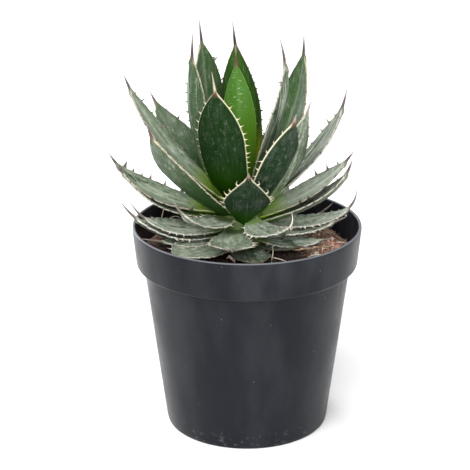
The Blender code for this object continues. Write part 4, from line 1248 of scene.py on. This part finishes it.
def build_strip(name, corners, width, curl, crumple, seed, material):
    """A thin withered strip along a cubic curve, curled across its width and crumpled.

    The strip is a closed flat tube: its section is a bent lens, width times the square root
    of the sine of the share of its length across, and it ends in a point.
    """
    chance = np.random.default_rng(seed)
    share = np.linspace(0.02, 0.98, 24)
    path = bezier((corners,), share)[0] + RIM_LEVEL
    heading = unit(np.gradient(path, axis=0))
    across = unit(np.cross(heading, (0.0, 0.0, 1.0)))
    face = np.cross(across, heading)
    half = 0.5 * width * np.sqrt(np.sin(np.pi * share))
    turn = full_turn(STRIP_SIDES)
    flat, thick = np.cos(turn)[None, :], 0.5 * STRIP_THICKNESS * np.sin(turn)[None, :]
    wave = crumple * np.sin(share[:, None] * 19.0 + flat * 3.0 + chance.uniform(0, 6))
    height = thick + curl * half[:, None] * flat**2 + wave * (0.4 + np.abs(flat))
    rings = path[:, None] + (flat * half[:, None])[..., None] * across[:, None]
    rings = rings + height[..., None] * face[:, None]
    poles = np.concatenate((path[:1] - heading[:1], path[-1:] + heading[-1:]))
    return capped_piece(name, rings, poles, material, order=1)


def build_grit(material):
    """Small pale grains: balls whose radius changes by up to a fifth with direction."""
    steps, around = 7, 12
    angle = np.linspace(0, np.pi, steps + 2)[1:-1]
    ball = turned(np.stack((np.sin(angle), -np.cos(angle)), axis=-1), full_turn(around))
    ball = np.concatenate((ball.reshape(-1, 3), ((0.0, 0.0, -1.0), (0.0, 0.0, 1.0))))
    ball = ball * (1 + 0.2 * np.sin(5.0 * ball[:, :1] + 2.0) * np.cos(4.0 * ball[:, 1:2] + 1.0))
    grains = np.array(GRIT)
    points = ball[None] * grains[:, None, 3:] + grains[:, None, :3] + RIM_LEVEL
    quads = many(ring_quads(steps, around), len(ball), len(GRIT))
    ends = many(cone_ends(steps, around, len(ball) - 2, len(ball) - 1), len(ball), len(GRIT))
    return piece_from("white_grit", points.reshape(-1, 3), quads, ends, material)


pale_root = dry_material("pale_rootlet", (0.55, 0.45, 0.32), (0.80, 0.74, 0.60))
straw = dry_material("withered_leaf", (0.12, 0.075, 0.04), (0.48, 0.36, 0.23))
blush = dry_material("dry_leaf_skin", (0.42, 0.27, 0.23), (0.85, 0.70, 0.64))
chalk = dry_material("white_grit", (0.75, 0.75, 0.72), (0.95, 0.95, 0.93))
withered = build_strip("withered_leaf", WITHERED_WAY, 4.0, 0.5, 0.25, 31, straw)
scrap = build_strip("dry_leaf_scrap", SCRAP_WAY, 3.6, 0.7, 0.3, 32, blush)
for bit in (build_rootlets(pale_root), withered, scrap):
    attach(bit, "root")
grit = build_grit(chalk)
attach(grit, "root")


# The table and the studio: a pale floor that fills the view, a broad light above, a tall soft
# light behind at the left, a weak one behind at the right and a low one in front. None of it
# belongs to the plant.
VIEW_DISTANCE = 1200.0
VIEW_ELEVATION = math.radians(19.7)
FOCAL_PIXELS = 1618.0
FRAME_PIXELS = 470.0
RIM_CENTRE_PIXEL = (247.0, 223.1)
FLOOR_HALF = 6000.0
FLOOR_LINES = 13

# Each soft light's place, the point that it faces and its size in metres, and its watts.
LIGHTS = {
    "light_left": ((-0.72, 0.95, 0.35), (0.0, 0.0, 0.12), (0.8, 1.3), 18.0),
    "light_right": ((0.46, 1.05, 0.35), (0.0, 0.0, 0.12), (0.12, 1.2), 0.8),
    "light_front": ((0.25, -1.3, 0.60), (0.0, 0.0, 0.16), (0.8, 0.6), 10.0),
}


def pale_floor():
    """Matt pale paint with a hardly seen mottle."""
    material, tree, shader, place = new_material("pale_floor")
    colour = blended(tree, noise(tree, place, 3.0, 2.0), (0.90, 0.90, 0.90), (0.93, 0.93, 0.93))
    feed(tree, shader, {"Base Color": colour, "Roughness": 0.8})
    return material


def build_floor(material):
    """A flat square grid, 12 metres a side, at the height of the pot's foot."""
    steps = np.linspace(-FLOOR_HALF, FLOOR_HALF, FLOOR_LINES)
    x, y = np.meshgrid(steps, steps, indexing="ij")
    points = np.stack((x, y, np.zeros_like(x)), axis=-1).reshape(-1, 3)
    a = (np.arange(FLOOR_LINES - 1)[:, None] * FLOOR_LINES + np.arange(FLOOR_LINES - 1)).ravel()
    quads = np.stack((a, a + FLOOR_LINES, a + FLOOR_LINES + 1, a + 1), axis=-1)
    return piece_from("floor", points, quads, np.zeros((0, 3), int), material)


def area_light(name, place, target, size, watts):
    """A soft rectangular light that faces a point."""
    light = bpy.data.lights.new(name, "AREA")
    light.shape = "RECTANGLE"
    light.size, light.size_y = size
    light.energy = watts
    lamp = in_scene(name, light)
    lamp.location = place
    x, y, z = np.array(target) - np.array(place)
    lamp.rotation_euler = (math.atan2(math.hypot(x, y), -z), 0.0, math.atan2(-x, y))


def build_world(strength):
    """White surroundings, which light the plant less than they show to the eye."""
    world = bpy.data.worlds.new("white_studio")
    world.use_nodes = True
    tree = world.node_tree
    seen = add_node(tree, "ShaderNodeLightPath").outputs["Is Camera Ray"]
    brightness = between(tree, seen, 0.0, 1.0, strength, 1.0)
    feed(tree, tree.nodes["Background"], {"Color": (1.0, 1.0, 1.0, 1.0), "Strength": brightness})
    bpy.context.scene.world = world


def build_overhead():
    """A broad sun that shines down from the front and a little from the left."""
    sun = bpy.data.lights.new("light_above", "SUN")
    sun.energy = 2.9
    sun.angle = math.radians(45)
    in_scene("light_above", sun).rotation_euler = (math.radians(38), 0.0, math.radians(-22))


def build_camera():
    """The camera looks at the middle of the rim, which the shift puts where the photograph has it."""
    camera = bpy.data.cameras.new("camera")
    camera.lens = camera.sensor_width * FOCAL_PIXELS / FRAME_PIXELS
    camera.shift_x = (FRAME_PIXELS / 2 - RIM_CENTRE_PIXEL[0]) / FRAME_PIXELS
    camera.shift_y = (RIM_CENTRE_PIXEL[1] - FRAME_PIXELS / 2) / FRAME_PIXELS
    camera.clip_start, camera.clip_end = 0.05, 30.0
    eye = in_scene("camera", camera)
    away = VIEW_DISTANCE * MM
    eye.location = (0.0, -away * math.cos(VIEW_ELEVATION), POT_HEIGHT * MM + away * math.sin(VIEW_ELEVATION))
    eye.rotation_euler = (math.pi / 2 - VIEW_ELEVATION, 0.0, 0.0)
    bpy.context.scene.camera = eye


floor = build_floor(pale_floor())
build_world(0.50)
build_overhead()
for name, settings in LIGHTS.items():
    area_light(name, *settings)
build_camera()
bpy.context.scene.view_settings.view_transform = "Standard"
